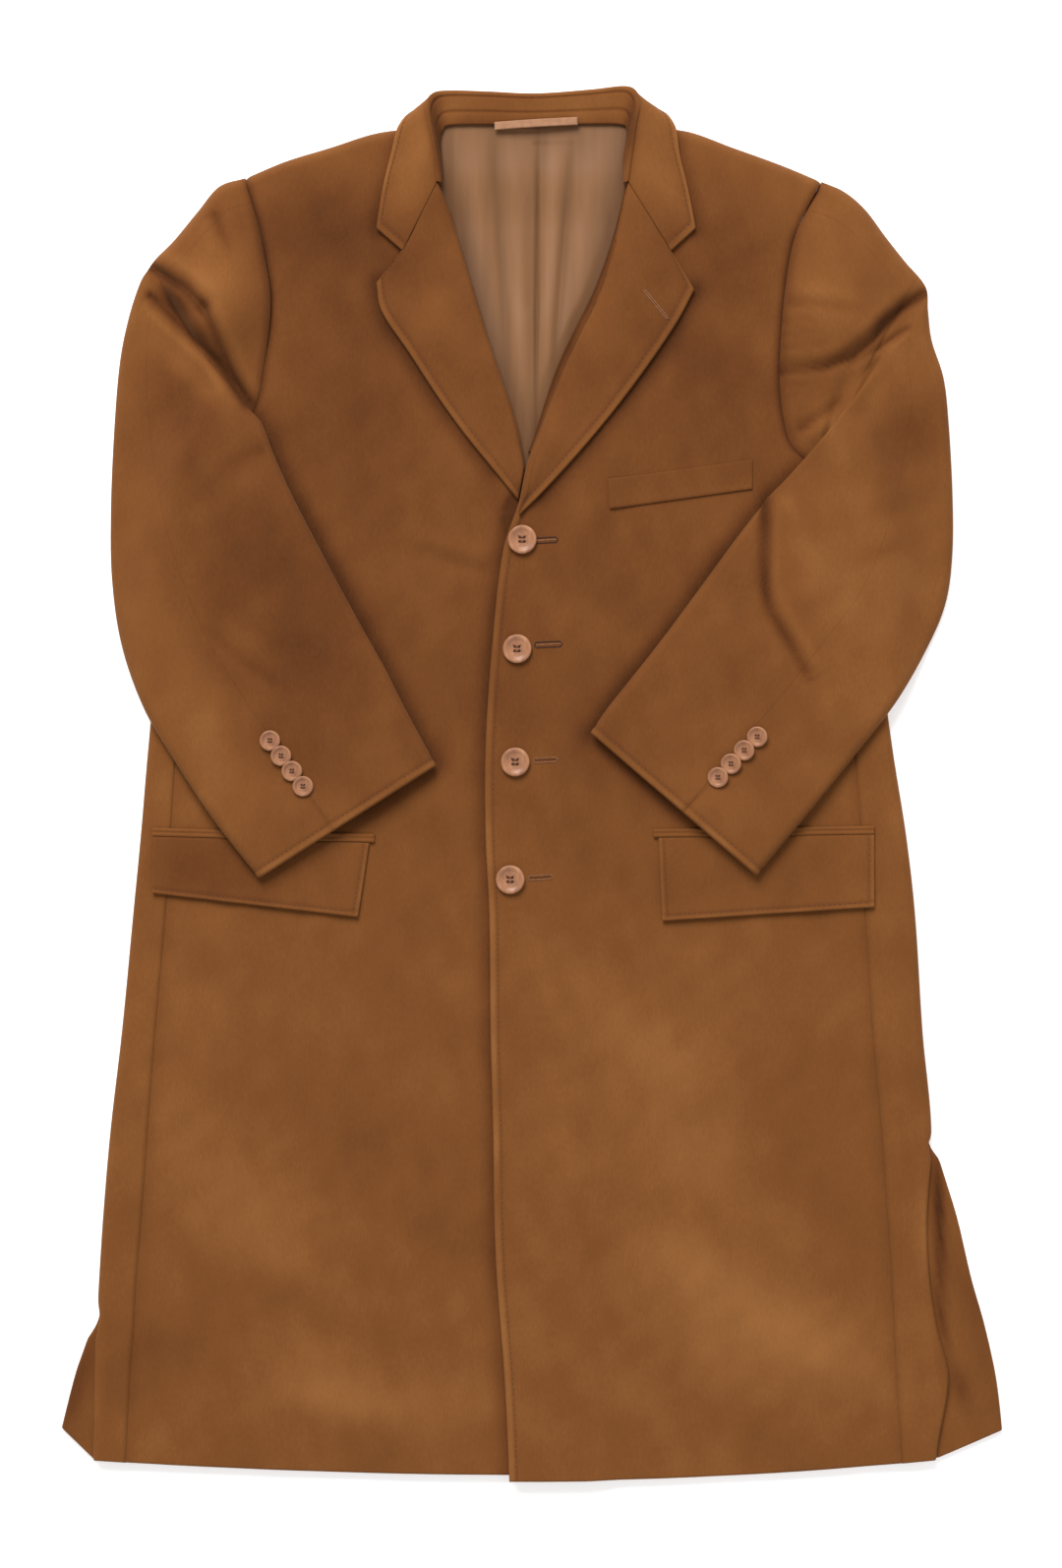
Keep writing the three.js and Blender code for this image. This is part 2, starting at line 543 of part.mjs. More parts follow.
// What shows of the lining between the fronts, with its centre pleat
function lining() {
  const { bottom, bend, top, margin, narrow, wide } = LINING;
  const rows = [...steps(9, bottom, bend).slice(0, -1), ...steps(5, bend, top)];
  const grid = rows.map((y) => {
    const low = rolls.right(Math.max(y, RIGHT_ROLL[0].y)) - margin;
    const high = rolls.left(y) + margin;
    return steps(12).map((u) => {
      const x = lerp(low, high, u);
      const free = Math.sin(Math.PI * u) * smoothstep(high - low, narrow, wide);
      const folds = LINING_FOLDS.map((fold) => fold.height * Math.cos((x - fold.x) / fold.width));
      const wave = free * Math.max(0, folds.reduce((sum, height) => sum + height, LINING.lift));
      return new THREE.Vector3(x, y, LINING_UNDER + LINING_WALL + collarRoom(x, y) + wave);
    });
  });
  return wallMesh("lining_back", grid, lowered(grid, LINING_WALL), liningCloth);
}

// How far the body lies under a point, from 0 clear of it to 1 within it
const DROP = { from: 3, to: 46, narrows: 0.6, most: 30 };
function overBody(side, x, y) {
  const away = outward[side];
  const hole = y > underarm[side] ? Math.min(DROP.most, (y - underarm[side]) * DROP.narrows) : 0;
  const line = body[side + "Fold"](Math.min(y, underarm[side])) - away * hole;
  return 1 - smoothstep(away * (x - line), DROP.from, DROP.to);
}

// The seam that shows crosses the head at this share; the other one is hidden underneath.
const HIND_SHARE = 0.1;
const FORE_SHARE = 0.92;
const HIND_SIDE = ARMHOLE_SHARES.filter((share) => share < HIND_SHARE).map((share) => share / HIND_SHARE);
const FORE_SIDE = ARMHOLE_SHARES.filter((share) => share > HIND_SHARE)
  .map((share) => (share - HIND_SHARE) / (1 - HIND_SHARE));
const UNDER_SIDE = ARMHOLE_SHARES.slice(1, -1).reverse();
const EDGE_ROUND = 8;
const SLEEVE_CLEAR = 1.8;
const FLAP_ROOM = { height: 3.4, from: -20, to: 30 };
const CROWN = { spread: 1.15, power: 0.7, from: 0.4, to: 0.78, arm: 0.6 };
const FOLD_FADE = { base: 0.3, gain: 3 };

// One ring of the flattened sleeve tube, as outer and inner points. Fractions run from the outer edge
// of the sleeve over the upper layer to its inner edge, and back under.
function sleeveRing(side, row) {
  const hole = side === "right" ? RIGHT_ARMHOLE : LEFT_ARMHOLE;
  const [bottom, tip] = [hole[0], hole.at(-1)];
  const width = Math.hypot(row.inX - row.outX, row.inY - row.outY);
  const place = (w) => {
    const holeY = lerp(tip.y, bottom.y, w);
    const bow = armholes[side](holeY) - lerp(tip.x, bottom.x, w);
    const gap = outward[side] * SEAM_GAP;
    return [lerp(row.outX, row.inX, w) + row.bend * bow + gap, lerp(row.outY, row.inY, w)];
  };
  const roundness = (w) => {
    const edge = Math.min(w, 1 - w) * width / EDGE_ROUND;
    return Math.sqrt(1 - (1 - Math.min(edge, 1)) ** 2);
  };
  const point = (w, upper, inset) => {
    const inner = inset > 0;
    const shifted = inner ? lerp(SLEEVE_WALL / width, 1 - SLEEVE_WALL / width, w) : w;
    const [x, y] = place(shifted);
    const carried = SIDE_TOP + SLEEVE_CLEAR + FLAP_ROOM.height * smoothstep(-y, FLAP_ROOM.from, FLAP_ROOM.to);
    const under = row.raised * overBody(side, x, y) * carried;
    const crown = row.crown * Math.sin(Math.PI * clamp(shifted * CROWN.spread, 0, 1)) ** CROWN.power;
    const onHead = row.raised < 0.5;
    const head = crown * (onHead ? 1 - smoothstep(shifted, CROWN.from, CROWN.to) : CROWN.arm);
    const height = row.thick + head;
    const middle = SLEEVE_WALL + SLEEVE_HOLLOW / 2;
    const full = roundness(w);
    if (inner) return new THREE.Vector3(x, y, under + middle + (upper ? 1 : -1) * full * SLEEVE_HOLLOW / 2);
    const shown = row.bend > 0.5 ? 0 : clamp(row.raised * FOLD_FADE.gain + FOLD_FADE.base, 0, 1);
    const flattest = 1 - height + SLEEVE_WALL * 2 + SLEEVE_HOLLOW;
    const lift = (height - middle + Math.max(foldsAt(SLEEVE_FOLDS, x, y) * shown, flattest)) * full;
    return new THREE.Vector3(x, y, under + middle + (upper ? lift : -full * middle));
  };
  const half = SEAM_GAP / 2 / width;
  const upperOut = [...HIND_SIDE.map((share) => share * row.seam), row.seam - half];
  const upperIn = [row.seam + half, ...FORE_SIDE.map((share) => lerp(row.seam, 1, share))];
  const fore = UNDER_SIDE.indexOf(FORE_SHARE);
  const lower = (list) => list.map((w) => [w, false]);
  const topArc = [...upperIn.map((w) => [w, true]), ...lower(UNDER_SIDE.slice(0, fore)),
    [FORE_SHARE + half, false]];
  const underArc = [[FORE_SHARE - half, false], ...lower(UNDER_SIDE.slice(fore + 1)),
    ...upperOut.map((w) => [w, true])];
  const arc = (list, inset) => list.map(([w, upper]) => point(w, upper, inset));
  return { top: [arc(topArc, 0), arc(topArc, 1)], under: [arc(underArc, 0), arc(underArc, 1)] };
}

function sleeve(side) {
  const rings = (side === "right" ? RIGHT_SLEEVE : LEFT_SLEEVE).map((row) => sleeveRing(side, row));
  return ["top", "under"].map((part) => wallMesh(part + "_sleeve_" + side,
    rings.map((ring) => ring[part][0]), rings.map((ring) => ring[part][1]), wool));
}

// The height of the highest of some meshes at a point, or null beside them
function heightOver(meshes) {
  const ray = new THREE.Raycaster();
  const down = new THREE.Vector3(0, 0, -1);
  return (x, y) => {
    ray.set(new THREE.Vector3(x, y, 200), down);
    return ray.intersectObjects(meshes)[0]?.point.z ?? null;
  };
}

// A lapel: a wall that lies on its front and rolls down into the neck along one line.
const LAPEL_SHARES = [0, 0.03, 0.1, 0.3, 0.55, 0.8, 1];
const LAPEL = { gap: 0.8, belly: 1.6, bellyEnds: 1.4, rollShare: 0.1, rollDrop: 2.2, rollIn: 0.6 };

function lapel(side, surface) {
  const rows = side === "right" ? RIGHT_LAPEL : LEFT_LAPEL;
  const numbered = rows.map((row, n) => ({ ...row, n }));
  const at = (name) => curveOf(numbered, "n", name);
  const [rollX, rollY, edgeX, edgeY] = ["rollX", "rollY", "edgeX", "edgeY"].map(at);
  const grid = steps(2 * (rows.length - 1), 0, rows.length - 1).map((n) => LAPEL_SHARES.map((u) => {
    const x = lerp(rollX(n), edgeX(n), u) + outward[side] * LAPEL.rollIn * (1 - u);
    const y = lerp(rollY(n), edgeY(n), u);
    const lies = surface(x, y) ?? frontTop(x, y, side === "left");
    const belly = LAPEL.belly * Math.sin(Math.PI * Math.min(1, u * LAPEL.bellyEnds));
    const unrolled = 1 - Math.sqrt(1 - (1 - Math.min(u / LAPEL.rollShare, 1)) ** 2);
    return new THREE.Vector3(x, y, lies + LAPEL.gap + LAPEL_WALL + belly - LAPEL.rollDrop * unrolled);
  }));
  const under = grid.map((row) => row.map((p) => {
    const lies = surface(p.x, p.y) ?? frontTop(p.x, p.y, side === "left");
    return new THREE.Vector3(p.x, p.y, Math.max(p.z - LAPEL_WALL, lies + LAPEL.gap));
  }));
  return wallMesh("lapel_" + side, grid, under, wool);
}

// The leaf lies on the fronts up to this turn of the fold, then sags below the back.
const LEAF_ON_FRONT = 95;
const LEAF_SAG = 3;

// The collar: stand, fold and leaf as one wall round the neck
function collar(surface) {
  const numbered = COLLAR.map((row, n) => ({ ...row, n }));
  const names = Object.keys(COLLAR[0]);
  const curves = Object.fromEntries(names.map((name) => [name, curveOf(numbered, "n", name)]));
  const half = COLLAR_WALL / 2;
  const radius = half + SEAM_GAP;
  const middle = steps(2 * (COLLAR.length - 1), 0, COLLAR.length - 1).map((n) => {
    const row = Object.fromEntries(names.map((name) => [name, curves[name](n)]));
    const [seam, crest, edge] = ["seam", "fold", "edge"].map((part) =>
      new THREE.Vector3(row[part + "X"], row[part + "Y"], row[part + "Z"]));
    const inwards = new THREE.Vector2(NECK_CENTRE.x - crest.x, NECK_CENTRE.y - crest.y).normalize();
    const angle = THREE.MathUtils.degToRad(row.turn);
    const into = new THREE.Vector3(inwards.x, inwards.y, 0);
    const up = new THREE.Vector3(0, 0, 1);
    const point = into.clone().multiplyScalar(Math.cos(angle)).addScaledVector(up, Math.sin(angle));
    const leaf = up.clone().multiplyScalar(Math.cos(angle)).addScaledVector(into, -Math.sin(angle));
    const centre = crest.clone().addScaledVector(point, -radius);
    const round = [-1, 0, 1].map((k) => centre.clone()
      .addScaledVector(point, radius * Math.cos(k * Math.PI / 2))
      .addScaledVector(leaf, radius * Math.sin(k * Math.PI / 2)));
    const sag = 1 + LEAF_SAG * smoothstep(row.turn, 90, 150);
    const leafPoint = (share) => {
      const p = round[2].clone().lerp(edge, share);
      p.z = edge.z + (round[2].z - edge.z) * (1 - share) ** sag;
      const lies = surface(p.x, p.y);
      if (row.turn < LEAF_ON_FRONT && lies !== null) p.z = Math.max(p.z, lies + half + 2 * SEAM_GAP);
      return p;
    };
    return [seam, seam.clone().lerp(round[0], 0.5), ...round, ...[0.25, 0.5, 0.75, 1].map(leafPoint)];
  });
  return wallMesh("collar", moved(middle, half), moved(middle, -half), wool);
}

// A flat piece laid on the fronts, from the surface's own points moved up, with its jet above it
function patch(row, surface) {
  const corner = (k) => new THREE.Vector2(row["x" + k], row["y" + k]);
  const jet = row.jet > 0 ? [[SEAM_GAP, JET_RISE], [row.jet, JET_RISE]] : [];
  const bands = [[-1, 0], [-0.5, 0], [0, 0], ...jet];
  const grid = bands.map(([v, rise]) => steps(8).map((u) => {
    const low = corner(0).lerp(corner(1), u);
    const high = corner(3).lerp(corner(2), u);
    const p = high.clone().lerp(low, Math.max(-v, 0));
    p.y += Math.max(v, 0);
    const lies = Math.max(...[-1, 0, 1].map((dx) => surface(p.x + dx, p.y)));
    return new THREE.Vector3(p.x, p.y, lies + SEAM_GAP * 2 + row.wall + rise);
  }));
  return wallMesh(row.name, grid, lowered(grid, row.wall), wool);
}

// A button with a raised rim round a dished face
function button(name, size, x, y, z) {
  const { radius, height, sides } = size;
  const profile = [[0, 0], [radius * 0.7, 0], [radius, height * 0.45], [radius * 0.94, height],
    [radius * 0.66, height * 0.94], [radius * 0.5, height * 0.62], [0, height * 0.62]];
  const geometry = new THREE.LatheGeometry(profile.map(([r, h]) => new THREE.Vector2(r, h)), sides);
  geometry.rotateX(Math.PI / 2);
  const mesh = new THREE.Mesh(geometry, horn);
  mesh.name = name;
  mesh.position.set(x, y, z);
  return mesh;
}

// The loop on the collar's stand that the coat hangs by, sewn down at both ends and raised between
const LOOP = { centreX: 4, centreY: 521.5, length: 66, width: 5.5, wall: 1.4, arch: 1.8, slope: 0.06 };

function hangerLoop(surface) {
  const grid = steps(1).map((v) => steps(12).map((u) => {
    const along = (u - 0.5) * LOOP.length;
    const x = LOOP.centreX + along;
    const y = LOOP.centreY + along * LOOP.slope + (v - 0.5) * LOOP.width;
    const lies = Math.max(...[-1, 1].map((step) => surface(x, y + step)));
    const raised = LOOP.arch * Math.sin(Math.PI * u);
    return new THREE.Vector3(x, y, lies + SEAM_GAP + LOOP.wall + raised);
  }));
  return wallMesh("hanger_loop", grid, lowered(grid, LOOP.wall), tapeCloth);
}

const coat = new THREE.Group();
const fronts = { right: front("right"), left: front("left") };
const sides = { right: sidePanel("right"), left: sidePanel("left") };
const chest = heightOver([fronts.right, fronts.left]);
const outside = heightOver([fronts.right, fronts.left, sides.right, sides.left]);
coat.add(back(), lining(), fronts.right, fronts.left, sides.right, sides.left);
const neckBand = collar(chest);
coat.add(neckBand, hangerLoop(heightOver([neckBand])));
coat.add(lapel("right", heightOver([fronts.right])), lapel("left", heightOver([fronts.left])));
coat.add(...sleeve("right"), ...sleeve("left"));
for (const row of PATCHES) coat.add(patch(row, outside));
FRONT_BUTTONS.forEach(({ x, y }, n) => {
  coat.add(button("button_front_" + (n + 1), FRONT_BUTTON, x, y, chest(x, y) + BUTTON_SHANK));
});

// Cuff buttons lie like shingles, each tilted on to the next, on the sleeve's highest point below.
function cuffButtons(side, rows) {
  const sleeves = ["top", "under"].map((part) => coat.getObjectByName(part + "_sleeve_" + side));
  const surface = heightOver(sleeves);
  const along = new THREE.Vector2(rows.at(-1).x - rows[0].x, rows.at(-1).y - rows[0].y).normalize();
  const axis = new THREE.Vector3(-along.y, along.x, 0);
  rows.forEach(({ x, y }, n) => {
    const high = Math.max(...[-1, 0, 1].map((step) => {
      const reach = step * CUFF_BUTTON.radius;
      return surface(x + along.x * reach, y + along.y * reach);
    }));
    const lift = CUFF_BUTTON.radius * Math.sin(CUFF_BUTTON_TILT) + SEAM_GAP;
    const mesh = button("button_cuff_" + side + "_" + (n + 1), CUFF_BUTTON, x, y, high + lift);
    mesh.setRotationFromAxisAngle(axis, CUFF_BUTTON_TILT);
    coat.add(mesh);
  });
}
cuffButtons("right", RIGHT_CUFF_BUTTONS);
cuffButtons("left", LEFT_CUFF_BUTTONS);

export default coat;
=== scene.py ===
"""A single-breasted wool overcoat that lies flat on its back with both sleeves bent over its fronts.

Sizes are millimetres, as on the coat: +X is the wearer's left, +Y runs from hem to collar, +Z is up and
z = 0 is the surface that the coat lies on. A mesh is turned into metres when it is made. Every piece of
cloth is a wall between two grids of points, so it is a thin closed shell.
"""

import math

import bmesh
import bpy
import numpy as np
from mathutils import Matrix, Vector
from mathutils.bvhtree import BVHTree


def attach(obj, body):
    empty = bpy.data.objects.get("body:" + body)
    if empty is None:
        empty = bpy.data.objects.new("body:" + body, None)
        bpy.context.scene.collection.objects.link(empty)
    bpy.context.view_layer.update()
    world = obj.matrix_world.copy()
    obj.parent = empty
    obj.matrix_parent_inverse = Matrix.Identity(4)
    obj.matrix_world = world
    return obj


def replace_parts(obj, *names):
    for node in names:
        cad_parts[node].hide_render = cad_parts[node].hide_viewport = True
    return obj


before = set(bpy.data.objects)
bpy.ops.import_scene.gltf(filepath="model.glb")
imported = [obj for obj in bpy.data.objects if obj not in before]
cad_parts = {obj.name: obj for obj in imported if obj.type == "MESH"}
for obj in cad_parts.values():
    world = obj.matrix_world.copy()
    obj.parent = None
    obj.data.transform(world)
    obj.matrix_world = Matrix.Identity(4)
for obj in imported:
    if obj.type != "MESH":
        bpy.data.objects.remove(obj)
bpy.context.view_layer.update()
MM = 0.001

# Cloth walls
BACK_WALL = 3
LINING_WALL = 1
FRONT_WALL = 4
SIDE_WALL = 2.4
LAPEL_WALL = 3.6
COLLAR_WALL = 2.6
SLEEVE_WALL = 1.9
SLEEVE_HOLLOW = 2.4
FLAP_WALL = 2.6

# The gap in a seam, and the least gap between cloths that lie on each other
SEAM_GAP = 0.05
CLEAR = 0.3

# Heights of the layers above the surface
FRONT_TOP = 10
SIDE_TOP = 11.5
LINING_UNDER = 4.1
COLLAR_ROOM = {"height": 3.4, "from_y": 440, "to_y": 488, "from_x": 112, "to_x": 156}

# Sizes across the coat
LAP = {"width": 42, "lift": 4.8, "level": 58, "fade": 34, "from_y": 262, "to_y": 330}
LAP_NARROWS = 150
SIDE_PUFF_WIDTH = 55
FOLD_RADIUS = 7
HALF_HEM = 335
HEM = {
    "right": {"middle": -548.5, "rise": 11},
    "left": {"middle": -553, "rise": 18},
    "back": {"middle": -547, "rise": 12},
}
SHOULDER_ROLL = 9
BACK_SHORTER = 8
PAD = {"height": 4.5, "level": 10, "reach": 95}
HEM_SPREAD = 90
NECK_HALF = 82
NECK_DEPTH = 2
NECK_ENDS = (1.1, 1.5)
NECK_CENTRE = (2, 440)

# The way out from the middle of the coat, on each side
OUTWARD = {"right": -1, "left": 1}


def table(columns, *rows):
    """Rows with named columns."""
    names = columns.split()
    return [dict(zip(names, row)) for row in rows]


def lerp(a, b, t):
    return a + (b - a) * t


def smoothstep(x, low, high):
    t = np.clip((x - low) / (high - low), 0, 1)
    return t * t * (3 - 2 * t)


def curve_of(rows, by, column, corners=()):
    """A smooth curve through one column of a table, as a function of another that rises. It turns
    sharply at the rows named as corners."""
    keys = np.array([row[by] for row in rows], float)
    values = np.array([row[column] for row in rows], float)
    last = len(keys) - 1

    def slope(low, high):
        return (values[high] - values[low]) / (keys[high] - keys[low])

    def at(q):
        q = np.asarray(q, float)
        i = np.clip(np.searchsorted(keys, q, side="right") - 1, 0, last - 1)
        span = keys[i + 1] - keys[i]
        t = np.clip((q - keys[i]) / span, 0, 1)
        before = np.where(np.isin(i, corners), i, np.maximum(i - 1, 0))
        after = np.where(np.isin(i + 1, corners), i + 1, np.minimum(i + 2, last))
        leave, arrive = slope(before, i + 1) * span, slope(i, after) * span
        t2, t3 = t * t, t * t * t
        return (
            (2 * t3 - 3 * t2 + 1) * values[i]
            + (t3 - 2 * t2 + t) * leave
            + (3 * t2 - 2 * t3) * values[i + 1]
            + (t3 - t2) * arrive
        )

    return at


# The body below the armholes. A fold is the coat's side as it lies, a flare is the edge of the cloth
# that spreads from under that fold near the hem, and a seam joins a front to its side panel.
BODY = table(
    "y right_fold right_flare right_seam edge left_seam left_fold left_flare",
    (-560, -348, -378, -323, -17, 296, 320, 376),
    (-532, -347, -372, -321, -18, 294, 322, 374),
    (-471, -346, -362, -318, -21, 290, 331, 369),
    (-432, -345, -350, -315, -24, 288, 322, 361),
    (-393, -343, -343, -313, -27, 286, 316, 350),
    (-346, -340, -340, -309, -29, 283, 314, 339),
    (-276, -334, -334, -304, -30, 278, 318, 319),
    (-198, -325, -325, -298, -32, 271, 311, 311),
    (-104, -316, -316, -290, -33, 265, 305, 305),
    (-42, -310, -310, -286, -36, 262, 298, 298),
    (28, -304, -304, -281, -36, 256, 287, 287),
    (106, -296, -296, -273, -31, 248, 277, 277),
    (185, -286, -286, -263, -22, 240, 270, 270),
    (225, -277, -277, -255, -9, 236, 265, 265),
    (262, -266, -266, -246, 0, 232, 260, 260),
)

# Armhole seams, from the underarm up to the shoulder
ARMHOLES = {
    "right": table(
        "y x",
        (262, -266), (267, -248), (279, -229), (300, -218), (331, -212),
        (361, -207.5), (387, -206.5), (414, -210.5), (447, -217), (481, -227),
    ),
    "left": table(
        "y x",
        (243, 261), (249, 231), (266, 208), (290, 200), (319, 197),
        (352, 198), (395, 202), (430, 208), (454, 218), (478, 231),
    ),
}

# The line where each lapel rolls back, which is also the edge of the opening at the neck
ROLLS = {
    "right": table(
        "y x",
        (254, -5), (285, -11), (312, -20), (344, -31), (386, -44), (430, -57), (463, -68),
        (493, -78), (530, -82),
    ),
    "left": table(
        "y x",
        (225, -9), (254, -3), (277, 6), (301, 15), (330, 26.5), (358, 40), (387, 54), (422, 65.5),
        (463, 74.5), (490, 78), (530, 84),
    ),
}

# Shoulder seams, and the back's neckline between them
TOP_LINE = table(
    "x y",
    (-227, 481), (-195, 494.5), (-163, 504.5), (-123, 516.5), (-82, 520), (82, 520), (123, 518),
    (163, 504.5), (200, 491), (231, 478),
)

# The back seams, hidden underneath, run straight from the hem to the underarm.
BACK_SEAMS = {
    "right": {"hem_x": -304, "hem_y": -540, "top_x": -222, "top_y": 262},
    "left": {"hem_x": 278, "hem_y": -540, "top_x": 214, "top_y": 243},
}

# Soft folds of the fronts, as ridges and troughs between two points
BODY_FOLDS = table(
    "x0 y0 x1 y1 width height",
    (-274, -249, -193, -387, 34, 2.6),
    (-193, -387, -120, -425, 30, 2.2),
    (-98, -206, -72, -237, 26, 1.6),
    (-190, -490, -60, -508, 26, 2.2),
    (-205, -300, -160, -350, 30, -1.2),
    (-170, -436, -140, -442, 24, -1.2),
    (78, -203, 124, -249, 34, 2.2),
    (118, -392, 232, -462, 32, 2.6),
    (150, -290, 196, -330, 36, -1.2),
    (150, -366, 190, -390, 30, 1.6),
    (50, -470, 90, -480, 30, -1),
    (-250, -130, -215, -185, 30, 1.6),
    (-120, 150, -60, 110, 34, 1.8),
    (40, 190, 110, 130, 34, 1.4),
    (-60, -20, -20, -110, 30, 1.2),
    (-86, 181, -36, 167, 8, -1.5),
    (-82, 193, -40, 181, 11, 1.4),
)

# Sleeves: each row is a line across the flattened tube, from its outer to its inner edge. bend is how
# far the line follows the armhole's curve, thick is the height of the two layers, crown is the extra
# height of the sleeve head, raised is how far the row lies on top of the body, and seam is where the
# hind-arm seam crosses the upper layer.
SLEEVE_COLUMNS = "out_x out_y in_x in_y bend thick crown raised seam"
SLEEVES = {
    "right": table(
        SLEEVE_COLUMNS,
        (-227, 481, -266, 262, 1, 10, 5, 0, 0.1),
        (-248, 474, -262, 268, 0.9, 10, 11, 0, 0.1),
        (-265, 454, -255, 272, 0.66, 10, 14, 0, 0.1),
        (-284, 431, -245, 277, 0.36, 10, 14, 0, 0.1),
        (-298, 417, -236, 282, 0.12, 9, 11, 0, 0.11),
        (-304.5, 408, -230, 286, 0.02, 7.6, 2, 0.95, 0.12),
        (-311, 397, -217, 289, 0, 8.6, 3, 1, 0.13),
        (-320, 369, -211, 280, 0, 9, 5, 1, 0.15),
        (-327, 333, -203, 259, 0, 9, 3, 1, 0.18),
        (-331.5, 278, -189, 228, 0, 9, 2, 1, 0.22),
        (-334, 216, -170, 191, 0, 9, 1.5, 1, 0.27),
        (-333, 161, -152, 157, 0, 9, 1, 1, 0.32),
        (-325, 110, -134, 124, 0, 9, 1, 1, 0.36),
        (-307, 61, -115, 90, 0, 9, 0.5, 1, 0.4),
        (-284, 21, -101, 62, 0, 9, 0, 1, 0.42),
        (-253, -26, -87, 36, 0, 8.6, 0, 1, 0.43),
        (-215, -75, -75, 14, 0, 8, 0, 1, 0.43),
    ),
    "left": table(
        SLEEVE_COLUMNS,
        (231, 478, 261, 243, 1, 10, 5, 0, 0.1),
        (249, 470, 258, 249, 0.9, 10, 11, 0, 0.1),
        (265.5, 456, 252, 254, 0.66, 10, 14, 0, 0.1),
        (282, 434, 244, 258, 0.36, 10, 14, 0, 0.1),
        (297, 415, 236, 260, 0.12, 9, 10, 0, 0.11),
        (313.5, 395, 228, 258, 0.02, 7.6, 1, 0.95, 0.12),
        (315.5, 376, 203, 240, 0, 8.8, 4, 1, 0.13),
        (318.5, 352, 188, 227, 0, 9, 5, 1, 0.15),
        (328, 322, 183, 220, 0, 9, 5, 1, 0.18),
        (332, 286, 174, 209, 0, 9, 4, 1, 0.22),
        (335, 231, 158, 188, 0, 9, 3, 1, 0.27),
        (335, 184, 142, 166, 0, 9, 2.5, 1, 0.32),
        (330, 145, 125, 143, 0, 9, 2, 1, 0.36),
        (316, 110, 108, 120, 0, 9, 1, 1, 0.4),
        (290, 66, 91, 98, 0, 9, 0.5, 1, 0.42),
        (256, 22, 75, 78, 0, 9, 0, 1, 0.43),
        (222, -20, 60, 59, 0, 8.6, 0, 1, 0.44),
        (178, -73, 47, 40, 0, 8, 0, 1, 0.44),
    ),
}

# Broad ridges and troughs of the sleeves' upper layers
SLEEVE_FOLDS = table(
    "x0 y0 x1 y1 width height",
    (-300, 300, -190, 180, 30, 2),
    (-230, 90, -170, 40, 26, 1.6),
    (-292, 380, -262, 352, 15, -3),
    (-318, 330, -290, 240, 24, 1.5),
    (212, 215, 222, 150, 20, 3),
    (222, 150, 245, 90, 20, 2),
    (240, 290, 300, 240, 26, 2),
    (262, 318, 286, 338, 12, 1.2),
)

# Sharper creases of the sleeves' upper layers, each along a line of points. start and end are its depths
# there, and ridge is how high the cloth beside it is pushed up: on the left of the line, or on the
# right where it is below 0.
CREASE_COLUMNS = "width start end ridge line"
SLEEVE_CREASES = {
    "right": table(
        CREASE_COLUMNS,
        (6, 7, 6, 1.2, [(-308, 415), (-292.5, 404), (-273, 391), (-260, 377)]),
        (5, 5, 2.5, 1, [(-259, 376), (-247, 348), (-235, 320), (-220, 296)]),
        (4.5, 4, 3.5, -1.4, [(-302, 386), (-286, 371), (-271, 357), (-247, 332), (-224, 300)]),
        (5, 2.4, 1, -0.8, [(-250, 449), (-245, 435), (-238, 421)]),
        (3, 0.6, 1.2, 0, [(-181, -4), (-168, -22), (-156, -39)]),
        (7, 0.8, 1.6, 0.6, [(-255, 120), (-228, 96), (-205, 80)]),
        (8, 1.4, 0.5, 0.5, [(-214, 262), (-240, 250), (-262, 226)]),
    ),
    "left": table(
        CREASE_COLUMNS,
        (
            4.6, 2.6, 6.5, 0.8,
            [(199, 327), (234, 330), (254, 337), (271, 351), (281, 364), (294, 377), (314, 389)],
        ),
        (2.6, 0.8, 2.8, -0.6, [(252, 331), (277, 346), (299, 361)]),
        (2.4, 1.2, 0.3, 0.3, [(200, 366), (228, 367.5)]),
        (2.4, 1.1, 0.3, 0.3, [(200, 356), (224, 357)]),
        (2.2, 1.2, 0.4, 0.3, [(200, 347), (229, 346)]),
        (2.2, 1, 0.3, 0.3, [(201, 337), (222, 338.5)]),
        (2.2, 1, 0.3, 0.3, [(202, 317), (220, 316)]),
        (4.5, 2.2, 0.8, 0.6, [(206, 381), (235, 377), (262, 373)]),
        (4, 2.6, 1, -0.8, [(214, 281), (230, 292), (246, 303)]),
        (4.6, 3.6, 1.4, 1.5, [(184, 228), (183, 190), (183.5, 155), (191, 133), (203, 113), (220, 83)]),
        (3, 0.6, 1.2, 0, [(145, 2), (121, -22)]),
    ),
}

# Lapels: each row is a line from the roll to the outer edge. The row before the last is the tip.
LAPELS = {
    "right": table(
        "roll_x roll_y edge_x edge_y",
        (-4.4, 251, -10.2, 224.5),
        (-14, 293, -31, 250),
        (-26, 330, -52.5, 276.5),
        (-38, 366, -74.5, 307),
        (-49, 403, -96, 340),
        (-59, 437, -118, 373),
        (-62, 448, -122.5, 396.5),
        (-73.4, 475.7, -101.7, 421.5),
    ),
    "left": table(
        "roll_x roll_y edge_x edge_y",
        (-9.5, 219, -9.5, 212),
        (-2, 257, 8, 229),
        (10, 288, 33.5, 256.5),
        (27, 331, 61, 289),
        (43, 364, 90.5, 328),
        (57, 397, 115.5, 365),
        (66, 428, 129.5, 391),
        (76, 475.7, 110.9, 421.5),
    ),
}

